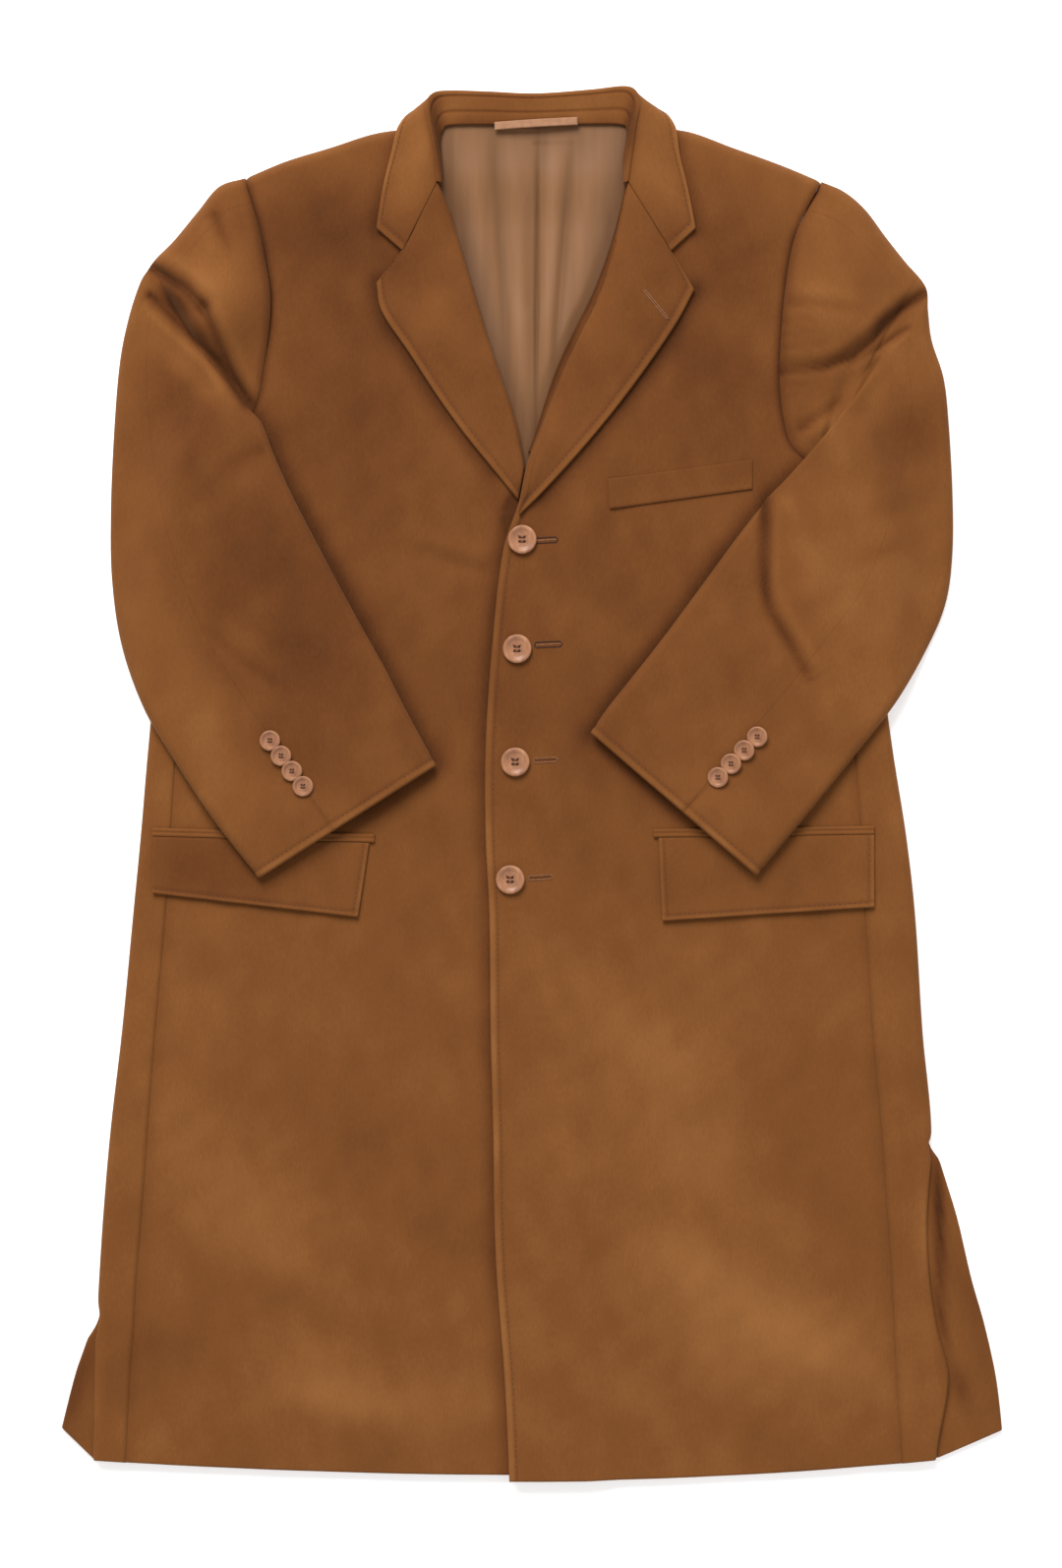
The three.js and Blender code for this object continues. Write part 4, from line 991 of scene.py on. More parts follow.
def wool_material(name, deepest, dark, middle, light):
    """Brushed wool: each piece's tone, which holds the nap's own patches with painted shade and painted
    highlights, with clouds, brush marks and fibres over them.
    """
    material, tree, shader, place = new_material(name)
    tone = node_of(tree, "ShaderNodeAttribute", attribute_name="nap_and_shade").outputs["Fac"]
    for mark in (CLOUDS, BRUSHING, FIBRE):
        marks = noise(tree, place, mark["scale"], mark["stretch"], detail=3, turn=mark["turn"])
        tone = shifted(tree, tone, marks, mark["tone"])
    colour = ramp(tree, tone, (0, deepest), (0.25, dark), (0.5, middle), (0.9, light))
    tree.links.new(colour, shader.inputs["Base Color"])
    set_inputs(shader, {"Roughness": 0.92, "Specular IOR Level": 0.12, "Sheen Weight": 0.22})
    set_inputs(shader, {"Sheen Roughness": 0.45, "Sheen Tint": linear(226, 178, 130)})
    fibres = noise(tree, place, FIBRE["scale"], FIBRE["stretch"], detail=4, roughness=0.65)
    felt = noise(tree, place, 210, (1, 0.6, 1), detail=2)
    bump(tree, shader, maths(tree, "ADD", fibres, felt), 0.5, 0.35)
    return material


def lining_material():
    """Satin with a fine diagonal twill. Its tone carries painted light on its folds and painted shade in
    its troughs and beside the rolls.
    """
    material, tree, shader, place = new_material("lining_satin")
    tone = node_of(tree, "ShaderNodeAttribute", attribute_name="nap_and_shade").outputs["Fac"]
    streaks = noise(tree, place, 90, (1, 0.08, 1), detail=3)
    colour = ramp(
        tree, shifted(tree, tone, streaks, 0.34), (0.1, linear(84, 52, 28)), (0.45, linear(120, 83, 53)),
        (0.6, linear(134, 94, 62)), (0.9, linear(160, 117, 84)),
    )
    tree.links.new(colour, shader.inputs["Base Color"])
    set_inputs(shader, {"Roughness": 0.46, "Anisotropic": 0.4})
    set_inputs(shader, {"Specular IOR Level": 0.2, "Sheen Weight": 0.03})
    waves = {"Scale": 260, "Distortion": 0.4, "Detail": 1}
    twill = node_of(tree, "ShaderNodeTexWave", waves, bands_direction="DIAGONAL")
    tree.links.new(place, twill.inputs["Vector"])
    bump(tree, shader, twill.outputs["Fac"], 0.25, 0.08)
    return material


def woven_material(name, dark, light, scale, roughness):
    """Plain woven tape or thread, with two sets of threads."""
    material, tree, shader, place = new_material(name)
    marks = noise(tree, place, scale * 0.4, detail=3)
    colour = ramp(tree, marks, (0.3, dark), (0.7, light))
    tree.links.new(colour, shader.inputs["Base Color"])
    set_inputs(shader, {"Roughness": roughness, "Specular IOR Level": 0.2, "Sheen Weight": 0.15})
    ways = [
        node_of(tree, "ShaderNodeTexWave", {"Scale": scale, "Distortion": 0.3}, bands_direction=way)
        for way in ("X", "Y")
    ]
    for wave in ways:
        tree.links.new(place, wave.inputs["Vector"])
    both = maths(tree, "MULTIPLY", ways[0].outputs["Fac"], ways[1].outputs["Fac"])
    bump(tree, shader, both, 0.5, 0.2)
    return material


def horn_material():
    """Pale horn with cloudy streaks and a soft polish."""
    material, tree, shader, place = new_material("pale_horn")
    streaks = noise(tree, place, 130, (1, 0.3, 1), detail=4, roughness=0.6, turn=0.7)
    stops = ((0.3, linear(134, 86, 58)), (0.55, linear(172, 119, 85)), (0.8, linear(196, 146, 110)))
    tree.links.new(ramp(tree, streaks, *stops), shader.inputs["Base Color"])
    set_inputs(shader, {"Roughness": 0.38, "Specular IOR Level": 0.4})
    bump(tree, shader, noise(tree, place, 400, detail=3), 0.15, 0.1)
    return material


wool = wool_material(
    "brushed_wool", linear(76, 41, 17), linear(104, 60, 28), linear(124, 76, 37), linear(158, 104, 57)
)
lining_cloth = lining_material()
tape_cloth = woven_material("woven_tape", linear(158, 113, 83), linear(174, 128, 96), 520, 0.7)
thread_cloth = woven_material("sewing_thread", linear(92, 53, 28), linear(118, 72, 41), 1500, 0.6)
twists = {
    "pale": woven_material("buttonhole_twist", linear(118, 74, 42), linear(146, 96, 58), 1500, 0.6),
    "dark": woven_material("dark_twist_and_shadow", linear(58, 29, 12), linear(78, 42, 20), 1500, 0.8),
}
horn = horn_material()

# The body

# How far apart a grid's points are where nothing needs them closer
STEP = 4.2

# Below the shoulder seam a front's under face turns from square to its cloth to straight below it.
ROLL_FADE = {"from": 6, "to": 26}

# How finely the end of the armhole is looked for, and how far about the underarm the edge changes
SEARCH_STEP = 0.25
ARMHOLE_ROUNDS = 12


def outer_line(side, seam):
    """The outer line of a front or of the back: a seam below, then the armhole."""
    away = OUTWARD[side]
    y = np.arange(underarm[side], shoulder_tip[side]["y"], SEARCH_STEP)
    start = y[np.argmax(away * (armholes[side](y) - seam(y)) <= 0)]

    def line(at):
        at = np.asarray(at, float)
        return np.where(at < start, seam(at), armholes[side](at)) - away * SEAM_GAP / 2

    return {"at": line, "top": (shoulder_tip[side]["x"] - away * SEAM_GAP / 2, shoulder_tip[side]["y"])}


def panel(part, u, y_a, y_b, a, b, top):
    """x and y of a flat pattern between two side lines, the hem and the top line."""
    middle = HEM[part]["middle"]
    low = hem_line(part, lerp(a["at"](middle), b["at"](middle), u))
    low_a, low_b = (hem_line(part, line["at"](middle)) for line in (a, b))
    share_a = (y_a - low_a) / (a["top"][1] - low_a)
    share_b = (y_b - low_b) / (b["top"][1] - low_b)
    v = lerp(share_a[:, None], share_b[:, None], u)
    x = lerp(a["at"](y_a)[:, None], b["at"](y_b)[:, None], u)
    return x, lerp(low, top(lerp(a["top"][0], b["top"][0], u)), v)


def row_heights(low, high, step):
    """Heights from a hem to a top edge, closer together near both."""
    return low + (high - low) * shares(0, 1, high - low, step, EDGE_STEPS, EDGE_STEPS)[0]


def shoulder_roll(top, below, base):
    """A front's height, rolled down to the surface along the shoulder seam."""
    depth = np.clip(below / SHOULDER_ROLL, 0, 1)
    return lerp(base, top, np.sqrt(1 - (1 - depth) ** 2))


def under_of(grid, side):
    """The under face of a front: straight below, but square to the cloth where it rolls down."""
    square = moved(grid, FRONT_WALL if side == "right" else -FRONT_WALL)
    x, y, z = np.moveaxis(grid, 2, 0)
    roll_shadows = 1 - smoothstep(y[-1:] - y, ROLL_FADE["from"], ROLL_FADE["to"])
    floor = BACK_WALL * (1 - roll_shadows) + CLEAR
    floor[-1] = CLEAR
    new_z = lerp(z - FRONT_WALL, square[..., 2], roll_shadows)
    new_y = lerp(y, square[..., 1], roll_shadows)
    slide = np.gradient(x, axis=0) / np.gradient(y, axis=0)
    return points(x + (new_y - y) * slide, new_y, np.maximum(new_z, floor + collar_room(x, y)))


def front(side):
    outer = outer_line(side, body[side + "_seam"])
    join = ROLLS[side][0]["y"]

    def opening(y):
        roll = rolls[side](np.maximum(y, join))
        if side == "left":
            return np.where(y > join, roll, body["edge"](y))
        hidden = body["edge"](y) + LAP["width"]
        return np.where(y > join, roll, lerp(hidden, rolls[side](join), smoothstep(y, LAP_NARROWS, join)))

    neck = OUTWARD[side] * NECK_HALF
    inner = {"at": opening, "top": (neck, top_line(neck))}
    low_a, low_b = (hem_line(side, line["at"](HEM[side]["middle"])) for line in (outer, inner))
    y_a = row_heights(low_a, outer["top"][1], STEP)
    y_b = lerp(low_b, inner["top"][1], (y_a - low_a) / (outer["top"][1] - low_a))
    widths = np.abs(inner["at"](y_b) - outer["at"](y_a))
    u = shares(0, 1, widths, STEP, SEAM_STEPS, EDGE_STEPS)
    x, y = panel(side, u, y_a, y_b, outer, inner, top_line)
    below = top_line(lerp(outer["top"][0], neck, u)) - y
    z = shoulder_roll(front_top(x, y, side == "left"), below, CLEAR + collar_room(x, y))
    grid = points(x, y, z)
    at_arm = smoothstep(y_a[:, None], underarm[side] - ARMHOLE_ROUNDS, underarm[side] + ARMHOLE_ROUNDS)
    outside = {key: lerp(SEAMS["side"][key], SEAMS["armhole"][key], at_arm) for key in ("width", "depth")}
    edges = borders(outside, "turned" if side == "left" else "plain", "plain", "seam")
    shade = shadows_at(shadow_bands_on(side), x, y)
    cloth(f"{side}_front", grid, under_of(grid, side), edges, f"front_{side}", shade=shade)


def back_seam(side, y):
    s = BACK_SEAMS[side]
    return lerp(s["hem_x"], s["top_x"], (y - s["hem_y"]) / (s["top_y"] - s["hem_y"]))


def back():
    lines = []
    for side in OUTWARD:
        line = outer_line(side, lambda y, side=side: back_seam(side, y) - OUTWARD[side] * SEAM_GAP)
        line["top"] = (line["top"][0], line["top"][1] - BACK_SHORTER)
        lines.append(line)
    lows = [hem_line("back", line["at"](HEM["back"]["middle"])) for line in lines]
    y_a = row_heights(lows[0], lines[0]["top"][1], STEP * 2)
    y_b = lerp(lows[1], lines[1]["top"][1], (y_a - lows[0]) / (lines[0]["top"][1] - lows[0]))
    u = shares(0, 1, lines[1]["at"](y_b) - lines[0]["at"](y_a), STEP * 2, SEAM_STEPS, SEAM_STEPS)

    def neckline(x):
        in_neck = 1 - smoothstep(np.abs(x), NECK_HALF * NECK_ENDS[0], NECK_HALF * NECK_ENDS[1])
        return top_line(x) - BACK_SHORTER - NECK_DEPTH * in_neck

    x, y = panel("back", u, y_a, y_b, *lines, neckline)
    room = collar_room(x, y)
    edges = borders("seam", "seam", "plain", "seam")
    cloth("back_panel", points(x, y, BACK_WALL + room), points(x, y, room), edges, "back")


# A side panel has a flare where its edge lies this far out past the fold. tuck is how far the cloth
# first runs back under the fold, and rise is how much its hem goes up for each mm beyond the fold.
FLARE = {"starts": 1, "full": 8, "tuck": 14, "rise": {"right": 0.9, "left": 0.32}}

# How many points a side panel's section has on its flat top, round each turn and underneath, and how far
# below the underarm the panel ends
SECTION = {"top": 6, "turn": 8, "under": 14}
BELOW_ARM = 1.5


def half_turn(centre_x, centre_z, radius, way, t):
    """A half circle from top to bottom that bulges to one side."""
    angle = math.pi * t
    return centre_x + way * radius * np.sin(angle), centre_z + radius * np.cos(angle)


def side_path(seam, fold, flare, back_x, high):
    """A side panel's section, from its seam with the front, round the fold and under to the back seam.
    With no flare it is one round fold. With a full flare it runs back under the fold and out again."""
    away = np.sign(fold)
    low = SIDE_WALL / 2
    step = (high - low) / 3
    turn = step / 2
    centre = fold - away * FOLD_RADIUS
    out_a, out_c = fold - away * low, flare - away * low
    tuck = fold - away * FLARE["tuck"]
    level = high - step
    t = np.linspace(0, 1, SECTION["turn"] + 1)[:-1]
    flat = np.linspace(0, 1, SECTION["top"] + 1)[:-1]
    last = np.linspace(0, 1, SECTION["under"])
    folded = [
        (lerp(seam, out_a - away * turn, flat), high + 0 * flat),
        half_turn(out_a - away * turn, high - turn, turn, away, t),
        (lerp(out_a - away * turn, tuck + away * turn, t), level + 0 * t),
        half_turn(tuck + away * turn, level - turn, turn, -away, t),
        (lerp(tuck + away * turn, out_c - away * turn, t), level - step + 0 * t),
        half_turn(out_c - away * turn, low + turn, turn, away, t),
        (lerp(out_c - away * turn, back_x, last), low + 0 * last),
    ]
    round_t = np.linspace(0, 1, (len(folded) - 2) * len(t) + 1)[:-1]
    radius = (FOLD_RADIUS - low, (high - low) / 2)
    single = [
        (lerp(seam, centre, flat), high + 0 * flat),
        (
            centre + away * radius[0] * np.sin(math.pi * round_t),
            low + radius[1] * (1 + np.cos(math.pi * round_t)),
        ),
        (lerp(centre, back_x, last), low + 0 * last),
    ]
    share = smoothstep(abs(flare - fold), FLARE["starts"], FLARE["full"])
    parts = [np.concatenate([np.stack(part, axis=-1) for part in path]) for path in (single, folded)]
    return lerp(parts[0], parts[1], share)


def side_panel(side):
    away = OUTWARD[side]
    seam, fold, flare = (body[f"{side}_{part}"] for part in ("seam", "fold", "flare"))
    low = hem_line(side, seam(HEM[side]["middle"]))
    half = SIDE_WALL / 2
    top = SECTION["top"]
    middle = []
    for y in row_heights(low, underarm[side] - BELOW_ARM, STEP):
        high = front_top(fold(y) - away * FOLD_RADIUS * 2, y, False) - half
        start = seam(y) + away * SEAM_GAP / 2
        path = side_path(start, float(fold(y)), float(flare(y)), back_seam(side, y), high)
        x, z = path[:, 0], path[:, 1].copy()
        z[:top] = lerp(front_top(seam(y), y, False) - half, high, np.linspace(0, 1, top + 1)[:-1])
        beyond = np.maximum(0, away * (x - fold(y)))
        rise = hem_line(side, x) - low + beyond * FLARE["rise"][side]
        near_hem = 1 - smoothstep(y, low, low + HEM_SPREAD)
        middle.append(points(x, y + rise * near_hem, z))
    middle = np.array(middle)
    edges = borders("side", "seam", "plain", "seam")
    cloth(f"{side}_side", moved(middle, away * half), moved(middle, -away * half), edges, f"side_{side}")


for side in OUTWARD:
    front(side)
    side_panel(side)
back()

# The lining that shows in the neck, with its centre pleat

LINING = {
    "bottom": 232, "top": 524, "margin": 9, "narrow": 30, "wide": 110, "flat_from": 468, "flat_to": 516,
    "row_step": 3.2, "columns": 120, "fullness": 0.7, "level": 1.3,
}

# The strip of the left front's facing that shows inside its roll, with painted shade that deepens towards
# the lining
FACING = {
    "width": 6, "at_y": 360, "spread": 90, "from_y": 262, "to_y": 480, "top": 9, "slope": 0.9,
    "wall": 1.2, "least": 0.4, "clear": 10, "shade": -0.06, "shade_slope": -0.36, "rows": 80, "columns": 14,
}


def facing_width(y):
    return FACING["least"] + FACING["width"] * np.exp(-(((y - FACING["at_y"]) / FACING["spread"]) ** 2))


def facing():
    y = np.linspace(FACING["from_y"], FACING["to_y"], FACING["rows"])[:, None]
    share = np.linspace(0, 1, FACING["columns"])[None, :]
    x = rolls["left"](y) - SEAM_GAP - share * facing_width(y)
    z = FACING["top"] - FACING["slope"] * share + collar_room(x, y)
    grid = points(x, y, z)
    edges = borders("flat", "plain", "flat", "flat")
    shade = FACING["shade"] + FACING["shade_slope"] * share + 0 * y
    cloth("left_facing", grid, lowered(grid, FACING["wall"]), edges, shade=shade)


# The lining's folds, each as a line from its top to its bottom. Those below 0 are the troughs between.
LINING_FOLDS = table(
    "x_top x_bottom width height",
    (21, 7, 8, 1.9),
    (34, 10, 3.6, -1.8),
    (54, 16, 11, 1.7),
    (-14, -4, 9, 1.7),
    (-31, -11, 3.5, -1.2),
    (-50, -18, 10, 1.5),
    (-66, -24, 5, -0.9),
    (5.5, 3.5, 1.5, -3.2),
)

# Painted light and shade of the lining: how much lighter it is painted for each mm that it rises, mostly
# where it lies free, and how much darker it is painted towards its top
LINING_LIGHT_AND_SHADE = {"a_mm": 0.085, "least": 0.3, "free": 0.7, "top": 0.1}
YOKE_LINE = [(2, 508.5), (34, 509.5)]


def lining():
    size = LINING
    y = row_heights(size["bottom"], size["top"], size["row_step"])[:, None]
    low = rolls["right"](np.maximum(y, ROLLS["right"][0]["y"])) - size["margin"]
    high = rolls["left"](y) + size["margin"]
    u = np.linspace(0, 1, size["columns"])[None, :]
    x = lerp(low, high, u)
    rise = (y - size["bottom"]) / (size["top"] - size["bottom"])
    free = np.sin(math.pi * u) ** size["fullness"] * smoothstep(high - low, size["narrow"], size["wide"])
    free = free * (1 - smoothstep(y, size["flat_from"], size["flat_to"]))
    free = free * smoothstep(rolls["left"](y) - x, facing_width(y), facing_width(y) + FACING["clear"])
    wave = np.zeros(x.shape)
    for f in LINING_FOLDS:
        away = (x - lerp(f["x_bottom"], f["x_top"], rise)) / f["width"]
        wave = wave + f["height"] * np.exp(-away * away)
    z = LINING_UNDER + LINING_WALL + collar_room(x, y) + free * np.maximum(wave + size["level"], 0)
    # Painted shadow beside both rolls
    roll_shadows = [(edge_of(ROLLS[side], "x", "y"), *SHADOW_BANDS["roll"]) for side in ROLLS]
    seen = LINING_LIGHT_AND_SHADE["least"] + LINING_LIGHT_AND_SHADE["free"] * free
    tone = wave * LINING_LIGHT_AND_SHADE["a_mm"] * seen + shadows_at(roll_shadows, x, y)
    tone = tone - LINING_LIGHT_AND_SHADE["top"] * smoothstep(y, size["flat_to"], size["top"])
    tone = tone + shadows_at([(YOKE_LINE, *SHADOW_BANDS["yoke"])], x, y)
    grid = points(x, y, z)
    cloth(
        "neck_lining", grid, lowered(grid, LINING_WALL), borders("seam", "seam", "seam", "seam"),
        "lining_back", "lining", [lining_cloth], shade=tone, nap_and_shade=lambda x, y: np.full(x.shape, NAP_LEVEL),
    )


lining()
facing()

# Sleeves

# A sleeve comes down beside the body over a distance from its side. Beside the armhole that side lies
# further in, the higher the further.
DROP = {"from": 3, "to": 46, "narrows": 0.6, "most": 30}

# The sleeve's height over the body, with more room over the flap
SLEEVE_CLEAR = 1.8
FLAP_ROOM = {"height": 3.4, "from": -20, "to": 30}

# The head's crown fades out across the sleeve. Below the head it is the arm's share all the way.
CROWN = {"spread": 1.15, "power": 0.7, "from": 0.4, "to": 0.78, "arm": 0.6}

# The seam under the fore-arm, the round of the side edges, the hollow and the gap in the hind-arm seam
FORE_SHARE = 0.92
EDGE_ROUND = 8
LEAST_HOLLOW = 0.3
HIND_ARM_GAP = 0.04
SLEEVE_STEP = 3.2

# Folds and swells are weak on the sleeve head and grow towards the arm.
FOLD_FADE = {"base": 0.3, "gain": 3}
SLEEVE_SWELLS = {"shift": 700, "base": 1.2}
ARMHOLE_GROOVE = {"width": 6, "depth": 1.5}
CREASE_SHADE = {"a_mm": 0.08, "darkest": -0.4, "lightest": 0.1}

# Rows of wool turned in at the cuff, before the lining starts
CUFF_TURNED_IN = 30


def over_body(side, x, y):
    """How far the body lies under a point, from 0 clear of it to 1 within it."""
    away = OUTWARD[side]
    above = np.maximum(y - underarm[side], 0)
    hole = np.minimum(DROP["most"], above * DROP["narrows"])
    line = body[side + "_fold"](np.minimum(y, underarm[side])) - away * hole
    return 1 - smoothstep(away * (x - line), DROP["from"], DROP["to"])


def sleeve_grid(side, row, w, upper, inner):
    """Points on the flattened tube. w runs from the outer edge of the sleeve to its inner edge."""
    bottom, tip = ARMHOLES[side][0], ARMHOLES[side][-1]
    width = np.hypot(row["in_x"] - row["out_x"], row["in_y"] - row["out_y"])
    shifted = lerp(SLEEVE_WALL / width, 1 - SLEEVE_WALL / width, w) if inner else w
    bow = armholes[side](lerp(tip["y"], bottom["y"], shifted)) - lerp(tip["x"], bottom["x"], shifted)
    x = lerp(row["out_x"], row["in_x"], shifted) + row["bend"] * bow + OUTWARD[side] * SEAM_GAP
    y = lerp(row["out_y"], row["in_y"], shifted)
    room = FLAP_ROOM["height"] * smoothstep(-y, FLAP_ROOM["from"], FLAP_ROOM["to"])
    under = row["raised"] * over_body(side, x, y) * (SIDE_TOP + SLEEVE_CLEAR + room)
    arch = np.sin(math.pi * np.clip(shifted * CROWN["spread"], 0, 1)) ** CROWN["power"]
    head = row["raised"] < 0.5
    on_head = np.where(head, 1 - smoothstep(shifted, CROWN["from"], CROWN["to"]), CROWN["arm"])
    height = row["thick"] + row["crown"] * arch * on_head
    middle = SLEEVE_WALL + SLEEVE_HOLLOW / 2
    edge = np.minimum(np.minimum(w, 1 - w) * width / EDGE_ROUND, 1)
    full = np.sqrt(np.maximum(1 - (1 - edge) ** 2, 0))
    fade = np.clip(row["raised"] * FOLD_FADE["gain"] + FOLD_FADE["base"], 0, 1)
    shown = np.where(row["bend"] > 0.5, 0, fade)
    loose = swells_at(x + SLEEVE_SWELLS["shift"], y) * np.clip(SLEEVE_SWELLS["base"] - row["bend"], 0, 1)
    from_seam = OUTWARD[side] * (x - armholes[side](np.clip(y, bottom["y"], tip["y"])))
    near_seam = (1 - np.clip(from_seam / ARMHOLE_GROOVE["width"], 0, 1)) ** 2
    groove = np.where(row["raised"] > 0.5, 0, near_seam)
    shape = folds_at(SLEEVE_FOLDS, x, y) * shown + loose + creases_at(SLEEVE_CREASES[side], x, y)
    shape = shape - groove * ARMHOLE_GROOVE["depth"]
    least = SLEEVE_WALL + LEAST_HOLLOW - SLEEVE_HOLLOW / 2
    lift = np.maximum(height - middle + shape, least)
    if inner:
        above = np.minimum(lift - SLEEVE_WALL, SLEEVE_HOLLOW / 2)
        return points(x, y, under + middle + np.where(upper, above, -SLEEVE_HOLLOW / 2) * full)
    return points(x, y, under + middle + np.where(upper, lift, -middle) * full)


def sleeve(side):
    rows = SLEEVES[side]
    row = smooth_rows(rows, row_numbers(len(rows) - 1)[:, None])
    width = np.hypot(row["in_x"] - row["out_x"], row["in_y"] - row["out_y"])
    half = HIND_ARM_GAP / 2 / width
    edge = ROUND_STEPS * EDGE_ROUND
    seam, fore = row["seam"], np.full(row["seam"].shape, FORE_SHARE)
    over_top = shares(seam + half, 1, width, SLEEVE_STEP, SEAM_STEPS, edge)
    below_top = shares(fore + half, 1, width, STEP * 2, SEAM_STEPS[:3], edge)[:, ::-1][:, 1:]
    below_under = shares(0, fore - half, width, STEP * 2, edge, SEAM_STEPS[:3])[:, ::-1]
    over_under = shares(0, seam - half, width, SLEEVE_STEP, edge, SEAM_STEPS)[:, 1:]
    arcs = {
        "top": ((over_top, True), (below_top, False)),
        "under": ((below_under, False), (over_under, True)),
    }
    # Painted shade along the armhole seam on the sleeve head
    seam_shadow_band = [(edge_of(ARMHOLES[side], "x", "y"), *SHADOW_BANDS["sleeve_head"])]
    for part, arc in arcs.items():
        w = np.concatenate([piece for piece, _ in arc], axis=1)
        upper = np.concatenate([np.full(piece.shape, over) for piece, over in arc], axis=1)
        outer, inner = (sleeve_grid(side, row, w, upper, inside) for inside in (False, True))
        creases = creases_at(SLEEVE_CREASES[side], outer[..., 0], outer[..., 1])
        shade = np.clip(creases * CREASE_SHADE["a_mm"], CREASE_SHADE["darkest"], CREASE_SHADE["lightest"])
        shade = shade + shadows_at(seam_shadow_band, outer[..., 0], outer[..., 1]) * (row["raised"] < 0.5)
        cloth(
            f"{side}_{part}_sleeve", outer, inner, borders("flat", "flat", "flat", "turned"),
            f"{part}_sleeve_{side}", materials=[wool, lining_cloth], turned_in=CUFF_TURNED_IN,
            shade=np.where(upper, shade, 0),
        )


for side in OUTWARD:
    sleeve(side)

# Lapels and collar

LAPEL = {
    "gap": 0.8, "belly": 1.6, "belly_ends": 1.4, "roll_share": 0.1, "roll_drop": 2.2, "neck_drop": 1,
    "neck_rows": 1.5, "roll_in": 0.6, "columns": 16,
}

# Where a lapel is narrower than these widths, its points near the roll and near the edge close up.
ROLL_STEPS = np.array([0, 0.2, 0.6, 1.2, 2, 3.2, 4.6])
CLOSES_UP = {"roll": 40, "edge": 24}


def lapel(side):
    last = len(LAPELS[side]) - 1
    n = row_numbers(last)[:, None]
    at = smooth_rows(LAPELS[side], n, corners=(last - 1,))
    width = np.hypot(at["edge_x"] - at["roll_x"], at["edge_y"] - at["roll_y"])
    near_roll = ROLL_STEPS * np.minimum(1, width / CLOSES_UP["roll"])
    near_edge = EDGE_STEPS * np.minimum(1, width / CLOSES_UP["edge"])
    first, ending = near_roll / width, 1 - near_edge[:, ::-1] / width
    middle = lerp(first[:, -1:], ending[:, :1], np.linspace(0, 1, LAPEL["columns"])[1:-1])
    u = np.concatenate([first, middle, ending], axis=1)
    x = lerp(at["roll_x"], at["edge_x"], u) + OUTWARD[side] * LAPEL["roll_in"] * (1 - u)
    y = lerp(at["roll_y"], at["edge_y"], u)
    lies = height_over(f"{side}_front")(x, y, front_top(x, y, side == "left"))
    belly = LAPEL["belly"] * np.sin(math.pi * np.minimum(1, u * LAPEL["belly_ends"]))
    unrolled = 1 - np.sqrt(1 - (1 - np.minimum(u / LAPEL["roll_share"], 1)) ** 2)
    at_neck = smoothstep(n, last - LAPEL["neck_rows"], last)
    roll_drop = lerp(LAPEL["roll_drop"], LAPEL["neck_drop"], at_neck)
    top = lies + LAPEL["gap"] + LAPEL_WALL + belly - roll_drop * unrolled
    under = np.maximum(top - LAPEL_WALL, lies + LAPEL["gap"])
    edges = borders("plain", "turned", "seam", "gorge")
    cloth(f"{side}_lapel", points(x, y, top), points(x, y, under), edges, f"lapel_{side}")


for side in OUTWARD:
    lapel(side)

# The leaf lies on a front where the fold's turn is less than this, and sags more the more it turns.
LEAF_ON_FRONT = 95
LEAF_SAG = {"gain": 3, "from": 90, "to": 150}
LEAF_STEPS = {"near_fold": 1.5, "between": 2.6}
COLLAR_POINTS = {"row": 15, "end": 12, "fold": 11, "stand": 44}

# The stand's two rows of stitching, with painted shade in them for each mm they are sunk, and the painted
# shade along its foot
STAND_LINES = table("share depth width", (0.94, 0.55, 0.04), (0.44, 0.5, 0.05))
STAND_LINE_SHADE_A_MM = 0.4
STAND_FOOT_SHADE = {"share": 0.4, "tone": -0.16}


def unit(vectors):
    return vectors / np.maximum(np.linalg.norm(vectors, axis=-1, keepdims=True), 1e-9)


